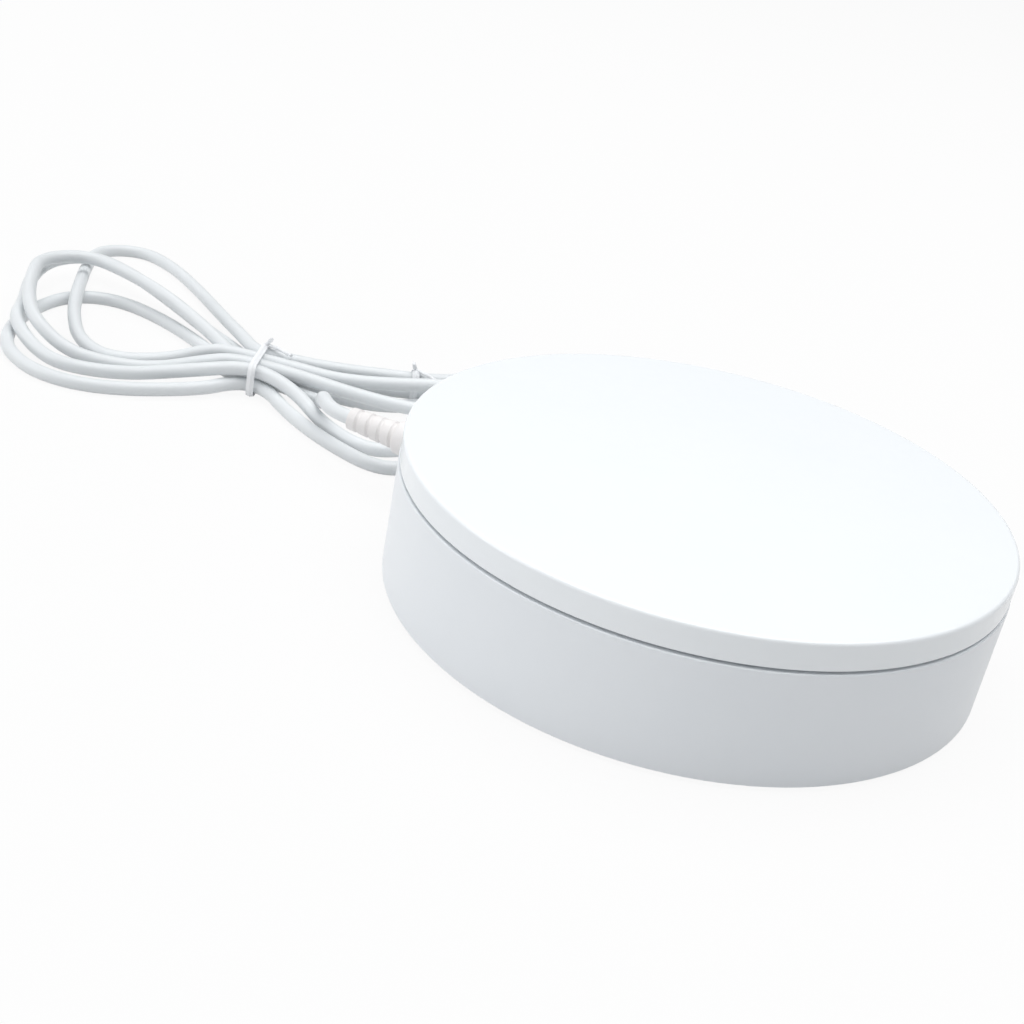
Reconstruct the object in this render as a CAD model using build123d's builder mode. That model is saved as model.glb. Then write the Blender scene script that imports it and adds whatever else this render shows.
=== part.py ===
from build123d import *
import math
import os

# A motor-driven display turntable: a low round drum, a skirted plate that turns on it,
# a ring gear and pinion under the plate, and a round lead put up as a tied hank.
# Millimetres. +Z is up, the origin is on the plate's axis where the feet stand.

os.makedirs("parts", exist_ok=True)

# Drum and plate
foot_stand = 1.0
base_height = 27.85
base_wall = 2.2
deck_thickness = 2.4
running_gap = 0.7
plate_radius = 73.0
base_overhang = 0.25
plate_height = 6.6
plate_top_thickness = 2.4
skirt_wall = 2.2
plate_edge_round = 0.9
base_edge_round = 0.4
edge_break = 0.3

# Dust ring that stands inside the skirt
dust_ring_clearance = 1.0
dust_ring_wall = 1.5
dust_ring_height = 1.75

# Bottom cover, feet and the posts that take the cover's screws
cover_thickness = 2.2
cover_clearance = 0.2
post_radius = 4.0
post_inset = 11.2
post_count = 4
post_start = 15.0
foot_radius = 6.0
foot_recess = 0.6
foot_inset = 15.2
foot_count = 4
foot_start = 60.0
fit_clearance = 0.05

# Screws
cover_screw_radius = 1.35
cover_screw_head_radius = 2.8
cover_screw_head = 1.1
cover_screw_length = 9.0
small_screw_radius = 1.25
small_screw_head_radius = 2.3
small_screw_head = 1.4
screw_hole_clearance = 0.15
screw_tip_room = 0.6
cross_width = 0.7

# Spindle, bush and washers
spindle_radius = 4.0
spindle_clearance = 0.05
bush_wall = 1.92
bush_flange_radius = 8.5
bush_flange = 1.2
boss_wall = 3.0
boss_drop = 7.6
thrust_washer_thickness = 0.95
washer_clearance = 0.15
axial_play = 0.05
spindle_flange_radius = 12.0
spindle_tail = 3.8
groove_depth = 0.8
clip_thickness = 0.7
clip_radius = 6.2
retaining_washer_thickness = 0.9
retaining_washer_radius = 7.5
plate_screw_circle_radius = 8.4
plate_screw_count = 3
plate_screw_bite = 1.6

# Thrust ball race
race_radius = 54.0
race_half_width = 3.0
race_seat = 0.4
ball_radius = 1.5
ball_clearance = 0.06
ball_count = 18
groove_lip = 0.3
cage_thickness = 1.2

# Gears
gear_module = 0.8
gear_teeth = 72
pinion_teeth = 16
pressure_angle = 20.0
backlash = 0.16
gear_thickness = 3.0
gear_bore_clearance = 0.4
gear_screw_circle_radius = 20.0
gear_screw_count = 3
root_clearance = 0.25
pinion_face = 2.9
pinion_lift = 0.5

# Gearmotor
motor_azimuth = -30.0
motor_radius = 14.0
motor_floor_clearance = 2.25
motor_edge_round = 0.8
shaft_offset = 8.0
ear_screw_clearance = 1.2
ear_radius = 3.5
ear_thickness = 1.0
motor_standoff = 4.0
motor_post_radius = 3.2
nose_radius = 4.5
nose_height = 1.5
shaft_radius = 2.5
shaft_clearance = 0.05
shaft_depth = 4.25
shaft_hole_clearance = 1.5
lead_block_width = 7.0
lead_block_depth = 2.0
lead_block_height = 4.0
lead_block_lift = 1.0

# Circuit board and what stands on it
board_azimuth = 165.0
board_thickness = 1.6
board_standoff = 4.2
board_length = 23.6
board_wall_clearance = 3.45
board_left_width = 26.0
board_right_width = 14.0
board_corner_cut = 9.6
board_post_radius = 2.6
board_margin = 3.2
board_jack_margin = 2.0
jack_length = 13.2
jack_width = 9.0
jack_height = 11.0
jack_axis_height = 6.5
jack_wall_gap = 0.25
jack_bore_clearance = 0.25
jack_pin_clearance = 0.15
jack_end_clearance = 1.0
switch_offset = 17.0
switch_length = 12.0
switch_depth = 6.0
switch_height = 5.6
switch_wall_gap = 0.6
switch_travel = 3.0
lever_width = 3.0
lever_height = 2.2
lever_stand = 1.5
lever_clearance = 0.2
wall_slot_clearance = 0.6
capacitor_radius = 3.15
capacitor_height = 9.0
capacitor_edge_round = 0.5
capacitor_inset = 6.0
capacitor_offset = 10.5
chip_length = 5.0
chip_width = 4.0
chip_height = 1.6
chip_inset = 10.5
chip_offset = 8.8
connector_length = 5.0
connector_width = 7.5
connector_height = 6.0
connector_inset = 3.5
connector_offset = 1.0
wire_radius = 0.6
wire_spacing = 2.54
wire_motor_run = 7.0
wire_board_run = 6.0
wire_rise = 0.4

# Barrel plug in the jack
barrel_radius = 2.75
barrel_bore_radius = 1.15
barrel_length = 9.5
plug_gap = 0.1
grip_radius = 4.6
grip_length = 10.4
relief_length = 14.5
relief_root_radius = 3.7
relief_tip_radius = 2.8
relief_ribs = 4
relief_groove = 0.55

# Lead
cord_radius = 2.0
strand_step = 4.6
tie_wire_radius = 0.6
tie_gap = 0.1
tie_bend = 1.2
near_tie_centre = (-135.0, 64.0)
near_tie_heading = 8.0
near_tie_room = 0.9
far_tie_centre = (-92.0, 80.5)
far_tie_heading = 19.0
far_tie_strands = (3.3, 7.9)
waist_half = 8.0
waist_stagger = 3.5
hank_centre = (-134.0, 64.0)
hank_start = 4.0

# Plug at the lead's far end
usb_grip_width = 16.0
usb_grip_height = 8.0
usb_grip_length = 21.0
usb_relief_length = 9.0
usb_relief_radius = 3.1
usb_relief_wall = 0.5
usb_shell_width = 12.0
usb_shell_height = 4.5
usb_shell_length = 12.0
usb_shell_wall = 0.35
usb_tongue_clearance = 0.15
usb_tongue_height = 1.8
usb_tongue_recess = 1.0
usb_grip_round = 2.4

# Heights worked out from the sizes above
base_bottom = foot_stand
base_radius = plate_radius + base_overhang
deck_top = base_bottom + base_height
deck_bottom = deck_top - deck_thickness
base_inner = base_radius - base_wall
skirt_bottom = deck_top + running_gap
plate_top = skirt_bottom + plate_height
plate_under = plate_top - plate_top_thickness
skirt_inner = plate_radius - skirt_wall
dust_ring_outer = skirt_inner - dust_ring_clearance
cover_top = base_bottom + cover_thickness
cover_radius = base_inner - cover_clearance
post_circle = base_radius - post_inset
foot_circle = base_radius - foot_inset
foot_top = base_bottom + foot_recess
boss_bottom = deck_bottom - boss_drop
bush_inner = spindle_radius + spindle_clearance
bush_outer = bush_inner + bush_wall
boss_radius = bush_outer + boss_wall
bush_top = deck_top + bush_flange
thrust_top = bush_top + thrust_washer_thickness
spindle_shoulder = thrust_top + axial_play
spindle_bottom = boss_bottom - spindle_tail
lower_race_bottom = deck_top - race_seat
upper_race_top = plate_under + race_seat
ball_height = (deck_top + plate_under) / 2
lower_race_top = ball_height - ball_radius + groove_lip
upper_race_bottom = ball_height + ball_radius - groove_lip
race_inner = race_radius - race_half_width
race_outer = race_radius + race_half_width
gear_pitch = gear_module * gear_teeth / 2
pinion_pitch = gear_module * pinion_teeth / 2
gear_bottom = plate_under - gear_thickness
pinion_distance = gear_pitch + pinion_pitch
motor_distance = pinion_distance - shaft_offset
pinion_top = plate_under - pinion_lift
pinion_bottom = pinion_top - pinion_face
ear_top = deck_bottom - motor_standoff
ear_bottom = ear_top - ear_thickness
motor_bottom = cover_top + motor_floor_clearance
motor_height = ear_bottom - motor_bottom
ear_spacing = 2 * (motor_radius + small_screw_head_radius + ear_screw_clearance)
nose_top = ear_top + nose_height
shaft_bottom = ear_top - shaft_depth
board_outer = base_inner - board_wall_clearance
board_inner = board_outer - board_length
board_bottom = cover_top + board_standoff
board_top = board_bottom + board_thickness
plug_axis = board_top + jack_axis_height
jack_outer = base_inner - jack_wall_gap
jack_bore_radius = barrel_radius + jack_bore_clearance
jack_pin_radius = barrel_bore_radius - jack_pin_clearance
plug_face = base_radius + plug_gap
jack_bore_depth = jack_outer - plug_face + barrel_length + jack_end_clearance
relief_start = plug_face + grip_length
plug_tip = relief_start + relief_length
switch_wall = math.sqrt(base_inner**2 - (switch_offset + switch_length / 2) ** 2)
switch_outer = switch_wall - switch_wall_gap
lever_centre = board_top + switch_height / 2
wire_height = board_top + connector_height / 2
strand_low = 2 * tie_wire_radius + tie_gap + cord_radius
strand_high = strand_low + strand_step


def polar_point(radius, azimuth, height=0.0):
    """A point on the circle of this radius about the plate's axis."""
    turn = math.radians(azimuth)
    return (radius * math.cos(turn), radius * math.sin(turn), height)


def turned_plane(azimuth, height=0.0):
    """A level plane whose x runs outwards at this azimuth."""
    return Plane(origin=(0, 0, height), x_dir=polar_point(1, azimuth), z_dir=(0, 0, 1))


def outward_plane(radius, azimuth, height, offset=0.0):
    """An upright plane that faces outwards, offset sideways from the radial line."""
    outward = Vector(*polar_point(1, azimuth))
    sideways = Vector(*polar_point(1, azimuth + 90))
    place = outward * radius + sideways * offset + Vector(0, 0, height)
    return Plane(origin=place, x_dir=sideways, z_dir=outward)


def involute(angle):
    """Involute function of a pressure angle in radians."""
    return math.tan(angle) - angle


def gear_outline(teeth, centre_angle):
    """Corner points of a spur gear's outline, one tooth centred on centre_angle."""
    pitch = gear_module * teeth / 2
    base = pitch * math.cos(math.radians(pressure_angle))
    tip = pitch + gear_module
    root = pitch - gear_module - root_clearance
    half_at_pitch = (math.pi * pitch / teeth - backlash) / 2 / pitch
    start = max(root, base)
    radii = [start + (tip - start) * step / 4 for step in range(5)]

    def half_angle(radius):
        flank = math.acos(min(1.0, base / radius))
        return half_at_pitch + involute(math.radians(pressure_angle)) - involute(flank)

    rising = [(root, half_angle(start))] if root < base else []
    rising += [(radius, half_angle(radius)) for radius in radii]
    points = []
    for tooth in range(teeth):
        middle = centre_angle + 2 * math.pi * tooth / teeth
        for radius, half in rising:
            points.append((radius * math.cos(middle - half), radius * math.sin(middle - half)))
        for radius, half in reversed(rising):
            points.append((radius * math.cos(middle + half), radius * math.sin(middle + half)))
    return points


# Base shell: drum wall, deck, bush boss and screw posts in one moulding
with BuildPart() as base_shell:
    with BuildSketch(Plane.XY.offset(base_bottom)):
        Circle(base_radius)
    extrude(amount=base_height)
    fillet(base_shell.edges().group_by(Axis.Z)[-1], base_edge_round)
    chamfer(base_shell.edges().group_by(Axis.Z)[0], edge_break)
    with BuildSketch(Plane.XY.offset(base_bottom)):
        Circle(base_inner)
    extrude(amount=base_height - deck_thickness, mode=Mode.SUBTRACT)
    with BuildSketch(Plane.XY.offset(deck_top)):
        Circle(dust_ring_outer)
        Circle(dust_ring_outer - dust_ring_wall, mode=Mode.SUBTRACT)
    extrude(amount=dust_ring_height)
    with BuildSketch(Plane.XY.offset(deck_top)):
        Circle(race_outer + fit_clearance)
        Circle(race_inner - fit_clearance, mode=Mode.SUBTRACT)
    extrude(amount=-race_seat, mode=Mode.SUBTRACT)
    with BuildSketch(Plane.XY.offset(boss_bottom)):
        Circle(boss_radius)
    extrude(amount=boss_drop)
    with BuildSketch(Plane.XY.offset(cover_top)):
        with PolarLocations(post_circle, post_count, start_angle=post_start):
            Circle(post_radius)
    extrude(amount=deck_bottom - cover_top)
    with BuildSketch(turned_plane(motor_azimuth, ear_top)):
        with Locations((motor_distance, ear_spacing / 2), (motor_distance, -ear_spacing / 2)):
            Circle(motor_post_radius)
    extrude(amount=motor_standoff)
    with BuildSketch(Plane.XY.offset(cover_top)):
        with PolarLocations(post_circle, post_count, start_angle=post_start):
            Circle(cover_screw_radius + fit_clearance)
    extrude(amount=cover_screw_length + screw_tip_room, mode=Mode.SUBTRACT)
    with BuildSketch(turned_plane(motor_azimuth, ear_top)):
        with Locations((motor_distance, ear_spacing / 2), (motor_distance, -ear_spacing / 2)):
            Circle(small_screw_radius + fit_clearance)
    extrude(amount=motor_standoff, mode=Mode.SUBTRACT)
    with BuildSketch(Plane.XY.offset(boss_bottom)):
        Circle(bush_outer + fit_clearance)
    extrude(amount=deck_top - boss_bottom, mode=Mode.SUBTRACT)
    with BuildSketch(turned_plane(motor_azimuth, deck_bottom)):
        with Locations((pinion_distance, 0)):
            Circle(shaft_radius + shaft_hole_clearance)
    extrude(amount=deck_thickness, mode=Mode.SUBTRACT)
    with BuildSketch(outward_plane(base_inner - base_wall, board_azimuth, plug_axis)):
        Circle(jack_bore_radius + fit_clearance)
    extrude(amount=base_wall * 2 + plug_gap, mode=Mode.SUBTRACT)
    with BuildSketch(outward_plane(switch_outer, board_azimuth, lever_centre, -switch_offset)):
        Rectangle(
            lever_width + switch_travel + 2 * wall_slot_clearance,
            lever_height + 2 * wall_slot_clearance,
        )
    extrude(amount=base_radius - switch_outer, mode=Mode.SUBTRACT)
base_shell.part.label = "base_shell"
export_step(base_shell.part, "parts/base_shell.step")

# Places of the board's screws, in the board's own directions
board_holes = [
    (board_inner + board_margin, board_margin - board_left_width),
    (board_outer - board_margin - board_jack_margin, board_right_width - board_margin),
    (board_inner + board_margin, board_right_width - board_margin),
]

# Bottom cover with recesses for the feet, sunk screw holes and posts for the board
with BuildPart() as bottom_cover:
    with BuildSketch(Plane.XY.offset(base_bottom)):
        Circle(cover_radius)
    extrude(amount=cover_thickness)
    with BuildSketch(turned_plane(board_azimuth, cover_top)):
        with Locations(*board_holes):
            Circle(board_post_radius)
    extrude(amount=board_standoff)
    with BuildSketch(Plane.XY.offset(base_bottom)):
        with PolarLocations(foot_circle, foot_count, start_angle=foot_start):
            Circle(foot_radius + fit_clearance)
    extrude(amount=foot_recess, mode=Mode.SUBTRACT)
    with BuildSketch(Plane.XY.offset(base_bottom)):
        with PolarLocations(post_circle, post_count, start_angle=post_start):
            Circle(cover_screw_radius + screw_hole_clearance)
    extrude(amount=cover_thickness, mode=Mode.SUBTRACT)
    with BuildSketch(Plane.XY.offset(base_bottom)):
        with PolarLocations(post_circle, post_count, start_angle=post_start):
            Circle(cover_screw_head_radius + screw_hole_clearance)
    extrude(amount=cover_screw_head + fit_clearance, mode=Mode.SUBTRACT)
    with BuildSketch(turned_plane(board_azimuth, cover_top)):
        with Locations(*board_holes):
            Circle(small_screw_radius + fit_clearance)
    extrude(amount=board_standoff, mode=Mode.SUBTRACT)
bottom_cover.part.label = "bottom_cover"
export_step(bottom_cover.part, "parts/bottom_cover.step")


def cross_recess():
    """Cross-shaped driver recess, drawn at each active location."""
    Rectangle(cross_width * 4, cross_width)
    Rectangle(cross_width, cross_width * 4)


# Cover screws
with BuildPart() as cover_screws:
    with BuildSketch(Plane.XY.offset(base_bottom + fit_clearance)):
        with PolarLocations(post_circle, post_count, start_angle=post_start):
            Circle(cover_screw_head_radius)
    extrude(amount=cover_screw_head)
    with BuildSketch(Plane.XY.offset(base_bottom + fit_clearance)):
        with PolarLocations(post_circle, post_count, start_angle=post_start):
            Circle(cover_screw_radius)
    extrude(amount=cover_thickness + cover_screw_length - fit_clearance)
    with BuildSketch(Plane.XY.offset(base_bottom + fit_clearance)):
        with PolarLocations(post_circle, post_count, start_angle=post_start):
            cross_recess()
    extrude(amount=cover_screw_head * 0.7, mode=Mode.SUBTRACT)
cover_screws.part.label = "cover_screws"
export_step(cover_screws.part, "parts/cover_screws.step")

# Rubber feet
with BuildPart() as rubber_feet:
    with BuildSketch():
        with PolarLocations(foot_circle, foot_count, start_angle=foot_start):
            Circle(foot_radius)
    extrude(amount=foot_top)
    chamfer(rubber_feet.edges().group_by(Axis.Z)[0], edge_break)
rubber_feet.part.label = "rubber_feet"
export_step(rubber_feet.part, "parts/rubber_feet.step")

# Flanged bush that the spindle turns in
with BuildPart() as spindle_bush:
    with BuildSketch(Plane.XY.offset(boss_bottom)):
        Circle(bush_outer)
    extrude(amount=deck_top - boss_bottom)
    with BuildSketch(Plane.XY.offset(deck_top)):
        Circle(bush_flange_radius)
    extrude(amount=bush_flange)
    with BuildSketch(Plane.XY.offset(boss_bottom)):
        Circle(bush_inner)
    extrude(amount=bush_top - boss_bottom, mode=Mode.SUBTRACT)
spindle_bush.part.label = "spindle_bush"
export_step(spindle_bush.part, "parts/spindle_bush.step")

# Low-friction washer between bush and spindle flange
with BuildPart() as thrust_washer:
    with BuildSketch(Plane.XY.offset(bush_top)):
        Circle(bush_flange_radius)
        Circle(spindle_radius + washer_clearance, mode=Mode.SUBTRACT)
    extrude(amount=thrust_washer_thickness)
thrust_washer.part.label = "thrust_washer"
export_step(thrust_washer.part, "parts/thrust_washer.step")

# Spindle with its flange and clip groove
with BuildPart() as spindle:
    with BuildSketch(Plane.XY.offset(spindle_bottom)):
        Circle(spindle_radius)
    extrude(amount=plate_under - spindle_bottom)
    with BuildSketch(Plane.XY.offset(spindle_shoulder)):
        Circle(spindle_flange_radius)
    extrude(amount=plate_under - spindle_shoulder)
    chamfer(spindle.edges().group_by(Axis.Z)[0], edge_break)
    clip_top = boss_bottom - axial_play - retaining_washer_thickness
    with BuildSketch(Plane.XY.offset(clip_top - clip_thickness)):
        Circle(spindle_radius + groove_depth)
        Circle(spindle_radius - groove_depth, mode=Mode.SUBTRACT)
    extrude(amount=clip_thickness, mode=Mode.SUBTRACT)
    with BuildSketch(Plane.XY.offset(spindle_shoulder)):
        with PolarLocations(plate_screw_circle_radius, plate_screw_count):
            Circle(small_screw_radius + fit_clearance)
    extrude(amount=plate_under - spindle_shoulder, mode=Mode.SUBTRACT)
    with BuildSketch(Plane.XY.offset(spindle_shoulder)):
        with PolarLocations(plate_screw_circle_radius, plate_screw_count):
            Circle(small_screw_head_radius + fit_clearance)
    extrude(amount=small_screw_head, mode=Mode.SUBTRACT)
spindle.part.label = "spindle"
export_step(spindle.part, "parts/spindle.step")

# Washer and clip that keep the spindle from lifting out
with BuildPart() as retaining_washer:
    with BuildSketch(Plane.XY.offset(clip_top)):
        Circle(retaining_washer_radius)
        Circle(spindle_radius + spindle_clearance, mode=Mode.SUBTRACT)
    extrude(amount=retaining_washer_thickness)
retaining_washer.part.label = "retaining_washer"
export_step(retaining_washer.part, "parts/retaining_washer.step")

with BuildPart() as retaining_clip:
    clip_inner = spindle_radius - groove_depth + fit_clearance
    with BuildSketch(Plane.XY.offset(clip_top - clip_thickness + fit_clearance / 2)):
        Circle(clip_radius)
        Circle(clip_inner, mode=Mode.SUBTRACT)
        with Locations((clip_radius, 0)):
            Rectangle(2 * clip_radius, clip_inner * 1.6, mode=Mode.SUBTRACT)
    extrude(amount=clip_thickness - fit_clearance)
retaining_clip.part.label = "retaining_clip"
export_step(retaining_clip.part, "parts/retaining_clip.step")


def race_profile(low, high):
    """Section of a race ring: a flat band with a groove that cups the balls."""
    with Locations((race_radius, (low + high) / 2)):
        Rectangle(2 * race_half_width, high - low)
    with Locations((race_radius, ball_height)):
        Circle(ball_radius + ball_clearance, mode=Mode.SUBTRACT)


# Thrust ball race
with BuildPart() as lower_race:
    with BuildSketch(Plane.XZ):
        race_profile(lower_race_bottom, lower_race_top)
    revolve(axis=Axis.Z)
lower_race.part.label = "lower_race"
export_step(lower_race.part, "parts/lower_race.step")

with BuildPart() as upper_race:
    with BuildSketch(Plane.XZ):
        race_profile(upper_race_bottom, upper_race_top)
    revolve(axis=Axis.Z)
upper_race.part.label = "upper_race"
export_step(upper_race.part, "parts/upper_race.step")

with BuildPart() as bearing_balls:
    with Locations((0, 0, ball_height)):
        with PolarLocations(race_radius, ball_count):
            Sphere(ball_radius)
bearing_balls.part.label = "bearing_balls"
export_step(bearing_balls.part, "parts/bearing_balls.step")

with BuildPart() as ball_cage:
    with BuildSketch(Plane.XY.offset(ball_height - cage_thickness / 2)):
        Circle(race_outer)
        Circle(race_inner, mode=Mode.SUBTRACT)
        with PolarLocations(race_radius, ball_count):
            Circle(ball_radius + 2 * ball_clearance, mode=Mode.SUBTRACT)
    extrude(amount=cage_thickness)
ball_cage.part.label = "ball_cage"
export_step(ball_cage.part, "parts/ball_cage.step")

# Turning plate: a flat disc with a skirt that reaches down to the running gap
with BuildPart() as turn_plate:
    with BuildSketch(Plane.XY.offset(skirt_bottom)):
        Circle(plate_radius)
    extrude(amount=plate_height)
    fillet(turn_plate.edges().group_by(Axis.Z)[-1], plate_edge_round)
    chamfer(turn_plate.edges().group_by(Axis.Z)[0], edge_break)
    with BuildSketch(Plane.XY.offset(skirt_bottom)):
        Circle(skirt_inner)
    extrude(amount=plate_under - skirt_bottom, mode=Mode.SUBTRACT)
    with BuildSketch(Plane.XY.offset(plate_under)):
        Circle(race_outer + fit_clearance)
        Circle(race_inner - fit_clearance, mode=Mode.SUBTRACT)
    extrude(amount=race_seat, mode=Mode.SUBTRACT)
    with BuildSketch(Plane.XY.offset(plate_under)):
        with PolarLocations(plate_screw_circle_radius, plate_screw_count):
            Circle(small_screw_radius + fit_clearance)
        with PolarLocations(gear_screw_circle_radius, gear_screw_count):
            Circle(small_screw_radius + fit_clearance)
    extrude(amount=plate_screw_bite + fit_clearance, mode=Mode.SUBTRACT)
turn_plate.part.label = "turn_plate"
export_step(turn_plate.part, "parts/turn_plate.step")

# Ring gear under the plate
pinion_turn = math.radians(motor_azimuth)
with BuildPart() as drive_gear:
    with BuildSketch(Plane.XY.offset(gear_bottom)):
        with BuildLine():
            Polyline(*gear_outline(gear_teeth, pinion_turn), close=True)
        make_face()
        Circle(spindle_flange_radius + gear_bore_clearance, mode=Mode.SUBTRACT)
        with PolarLocations(gear_screw_circle_radius, gear_screw_count):
            Circle(small_screw_radius + fit_clearance, mode=Mode.SUBTRACT)
    extrude(amount=gear_thickness)
    with BuildSketch(Plane.XY.offset(gear_bottom)):
        with PolarLocations(gear_screw_circle_radius, gear_screw_count):
            Circle(small_screw_head_radius + fit_clearance)
    extrude(amount=small_screw_head, mode=Mode.SUBTRACT)
drive_gear.part.label = "drive_gear"
export_step(drive_gear.part, "parts/drive_gear.step")

# Screws that hold spindle and gear to the plate, heads sunk flush
with BuildPart() as plate_screws:
    with BuildSketch(Plane.XY.offset(spindle_shoulder + fit_clearance)):
        with PolarLocations(plate_screw_circle_radius, plate_screw_count):
            Circle(small_screw_head_radius)
    extrude(amount=small_screw_head - fit_clearance)
    with BuildSketch(Plane.XY.offset(spindle_shoulder + fit_clearance)):
        with PolarLocations(plate_screw_circle_radius, plate_screw_count):
            Circle(small_screw_radius)
    extrude(amount=plate_under + plate_screw_bite - spindle_shoulder - fit_clearance)
    with BuildSketch(Plane.XY.offset(spindle_shoulder + fit_clearance)):
        with PolarLocations(plate_screw_circle_radius, plate_screw_count):
            cross_recess()
    extrude(amount=small_screw_head / 2, mode=Mode.SUBTRACT)
plate_screws.part.label = "plate_screws"
export_step(plate_screws.part, "parts/plate_screws.step")

with BuildPart() as gear_screws:
    with BuildSketch(Plane.XY.offset(gear_bottom + fit_clearance)):
        with PolarLocations(gear_screw_circle_radius, gear_screw_count):
            Circle(small_screw_head_radius)
    extrude(amount=small_screw_head - fit_clearance)
    with BuildSketch(Plane.XY.offset(gear_bottom + fit_clearance)):
        with PolarLocations(gear_screw_circle_radius, gear_screw_count):
            Circle(small_screw_radius)
    extrude(amount=gear_thickness + plate_screw_bite - fit_clearance)
    with BuildSketch(Plane.XY.offset(gear_bottom + fit_clearance)):
        with PolarLocations(gear_screw_circle_radius, gear_screw_count):
            cross_recess()
    extrude(amount=small_screw_head / 2, mode=Mode.SUBTRACT)
gear_screws.part.label = "gear_screws"
export_step(gear_screws.part, "parts/gear_screws.step")

# Pinion and the gearmotor's output shaft
motor_plane = turned_plane(motor_azimuth)
facing_gap = math.pi + math.pi / pinion_teeth
pinion_plane = Plane(
    origin=polar_point(pinion_distance, motor_azimuth, pinion_bottom),
    x_dir=polar_point(1, motor_azimuth),
    z_dir=(0, 0, 1),
)
with BuildPart() as pinion:
    with BuildSketch(pinion_plane):
        with BuildLine():
            Polyline(*gear_outline(pinion_teeth, facing_gap), close=True)
        make_face()
        Circle(shaft_radius, mode=Mode.SUBTRACT)
    extrude(amount=pinion_face)
pinion.part.label = "pinion"
export_step(pinion.part, "parts/pinion.step")

with BuildPart() as motor_shaft:
    with BuildSketch(motor_plane.offset(shaft_bottom)):
        with Locations((pinion_distance, 0)):
            Circle(shaft_radius)
    extrude(amount=pinion_top - shaft_bottom)
    chamfer(motor_shaft.edges().group_by(Axis.Z)[-1], edge_break)
motor_shaft.part.label = "motor_shaft"
export_step(motor_shaft.part, "parts/motor_shaft.step")

# Gearmotor: can, ears, nose and the block where its wires come out
lead_block_x = motor_distance - motor_radius
with BuildPart() as gearmotor:
    with BuildSketch(motor_plane.offset(motor_bottom)):
        with Locations((motor_distance, 0)):
            Circle(motor_radius)
    extrude(amount=motor_height)
    fillet(gearmotor.edges().group_by(Axis.Z)[0], motor_edge_round)
    with BuildSketch(motor_plane.offset(ear_bottom)):
        with Locations((motor_distance, ear_spacing / 2), (motor_distance, -ear_spacing / 2)):
            Circle(ear_radius)
        with Locations((motor_distance, 0)):
            Rectangle(2 * ear_radius, ear_spacing)
            Circle(motor_radius)
        with Locations((motor_distance, ear_spacing / 2), (motor_distance, -ear_spacing / 2)):
            Circle(small_screw_radius + screw_hole_clearance, mode=Mode.SUBTRACT)
    extrude(amount=ear_thickness)
    with BuildSketch(motor_plane.offset(ear_top)):
        with Locations((pinion_distance, 0)):
            Circle(nose_radius)
    extrude(amount=nose_height)
    with BuildSketch(motor_plane.offset(motor_bottom + lead_block_lift)):
        with Locations((lead_block_x, 0)):
            Rectangle(2 * lead_block_depth, lead_block_width)
    extrude(amount=lead_block_height)
    with BuildSketch(motor_plane.offset(shaft_bottom)):
        with Locations((pinion_distance, 0)):
            Circle(shaft_radius + shaft_clearance)
    extrude(amount=nose_top - shaft_bottom, mode=Mode.SUBTRACT)
gearmotor.part.label = "gearmotor"
export_step(gearmotor.part, "parts/gearmotor.step")

with BuildPart() as motor_screws:
    with BuildSketch(motor_plane.offset(ear_bottom - small_screw_head)):
        with Locations((motor_distance, ear_spacing / 2), (motor_distance, -ear_spacing / 2)):
            Circle(small_screw_head_radius)
    extrude(amount=small_screw_head)
    with BuildSketch(motor_plane.offset(ear_bottom)):
        with Locations((motor_distance, ear_spacing / 2), (motor_distance, -ear_spacing / 2)):
            Circle(small_screw_radius)
    extrude(amount=ear_thickness + motor_standoff - screw_tip_room)
    with BuildSketch(motor_plane.offset(ear_bottom - small_screw_head)):
        with Locations((motor_distance, ear_spacing / 2), (motor_distance, -ear_spacing / 2)):
            cross_recess()
    extrude(amount=small_screw_head / 2, mode=Mode.SUBTRACT)
motor_screws.part.label = "motor_screws"
export_step(motor_screws.part, "parts/motor_screws.step")

# Circuit board and the pieces soldered to it
board_plane = turned_plane(board_azimuth)
with BuildPart() as circuit_board:
    with BuildSketch(board_plane.offset(board_bottom)):
        with Locations((board_outer - board_length / 2, (board_right_width - board_left_width) / 2)):
            Rectangle(board_length, board_right_width + board_left_width)
        with Locations((board_outer, -board_left_width)):
            Rectangle(2 * board_margin, 2 * board_corner_cut, mode=Mode.SUBTRACT)
        with Locations(*board_holes):
            Circle(small_screw_radius + screw_hole_clearance, mode=Mode.SUBTRACT)
    extrude(amount=board_thickness)
circuit_board.part.label = "circuit_board"
export_step(circuit_board.part, "parts/circuit_board.step")

with BuildPart() as board_screws:
    with BuildSketch(board_plane.offset(board_top)):
        with Locations(*board_holes):
            Circle(small_screw_head_radius)
    extrude(amount=small_screw_head)
    with BuildSketch(board_plane.offset(cover_top + screw_tip_room)):
        with Locations(*board_holes):
            Circle(small_screw_radius)
    extrude(amount=board_top - cover_top - screw_tip_room)
    with BuildSketch(board_plane.offset(board_top + small_screw_head / 2)):
        with Locations(*board_holes):
            cross_recess()
    extrude(amount=small_screw_head, mode=Mode.SUBTRACT)
board_screws.part.label = "board_screws"
export_step(board_screws.part, "parts/board_screws.step")

with BuildPart() as dc_jack:
    with BuildSketch(board_plane.offset(board_top)):
        with Locations((jack_outer - jack_length / 2, 0)):
            Rectangle(jack_length, jack_width)
    extrude(amount=jack_height)
    chamfer(dc_jack.edges().group_by(Axis.Z)[-1], edge_break)
    with BuildSketch(outward_plane(jack_outer - jack_bore_depth, board_azimuth, plug_axis)):
        Circle(jack_bore_radius)
        Circle(jack_pin_radius, mode=Mode.SUBTRACT)
    extrude(amount=jack_bore_depth, mode=Mode.SUBTRACT)
dc_jack.part.label = "dc_jack"
export_step(dc_jack.part, "parts/dc_jack.step")

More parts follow.
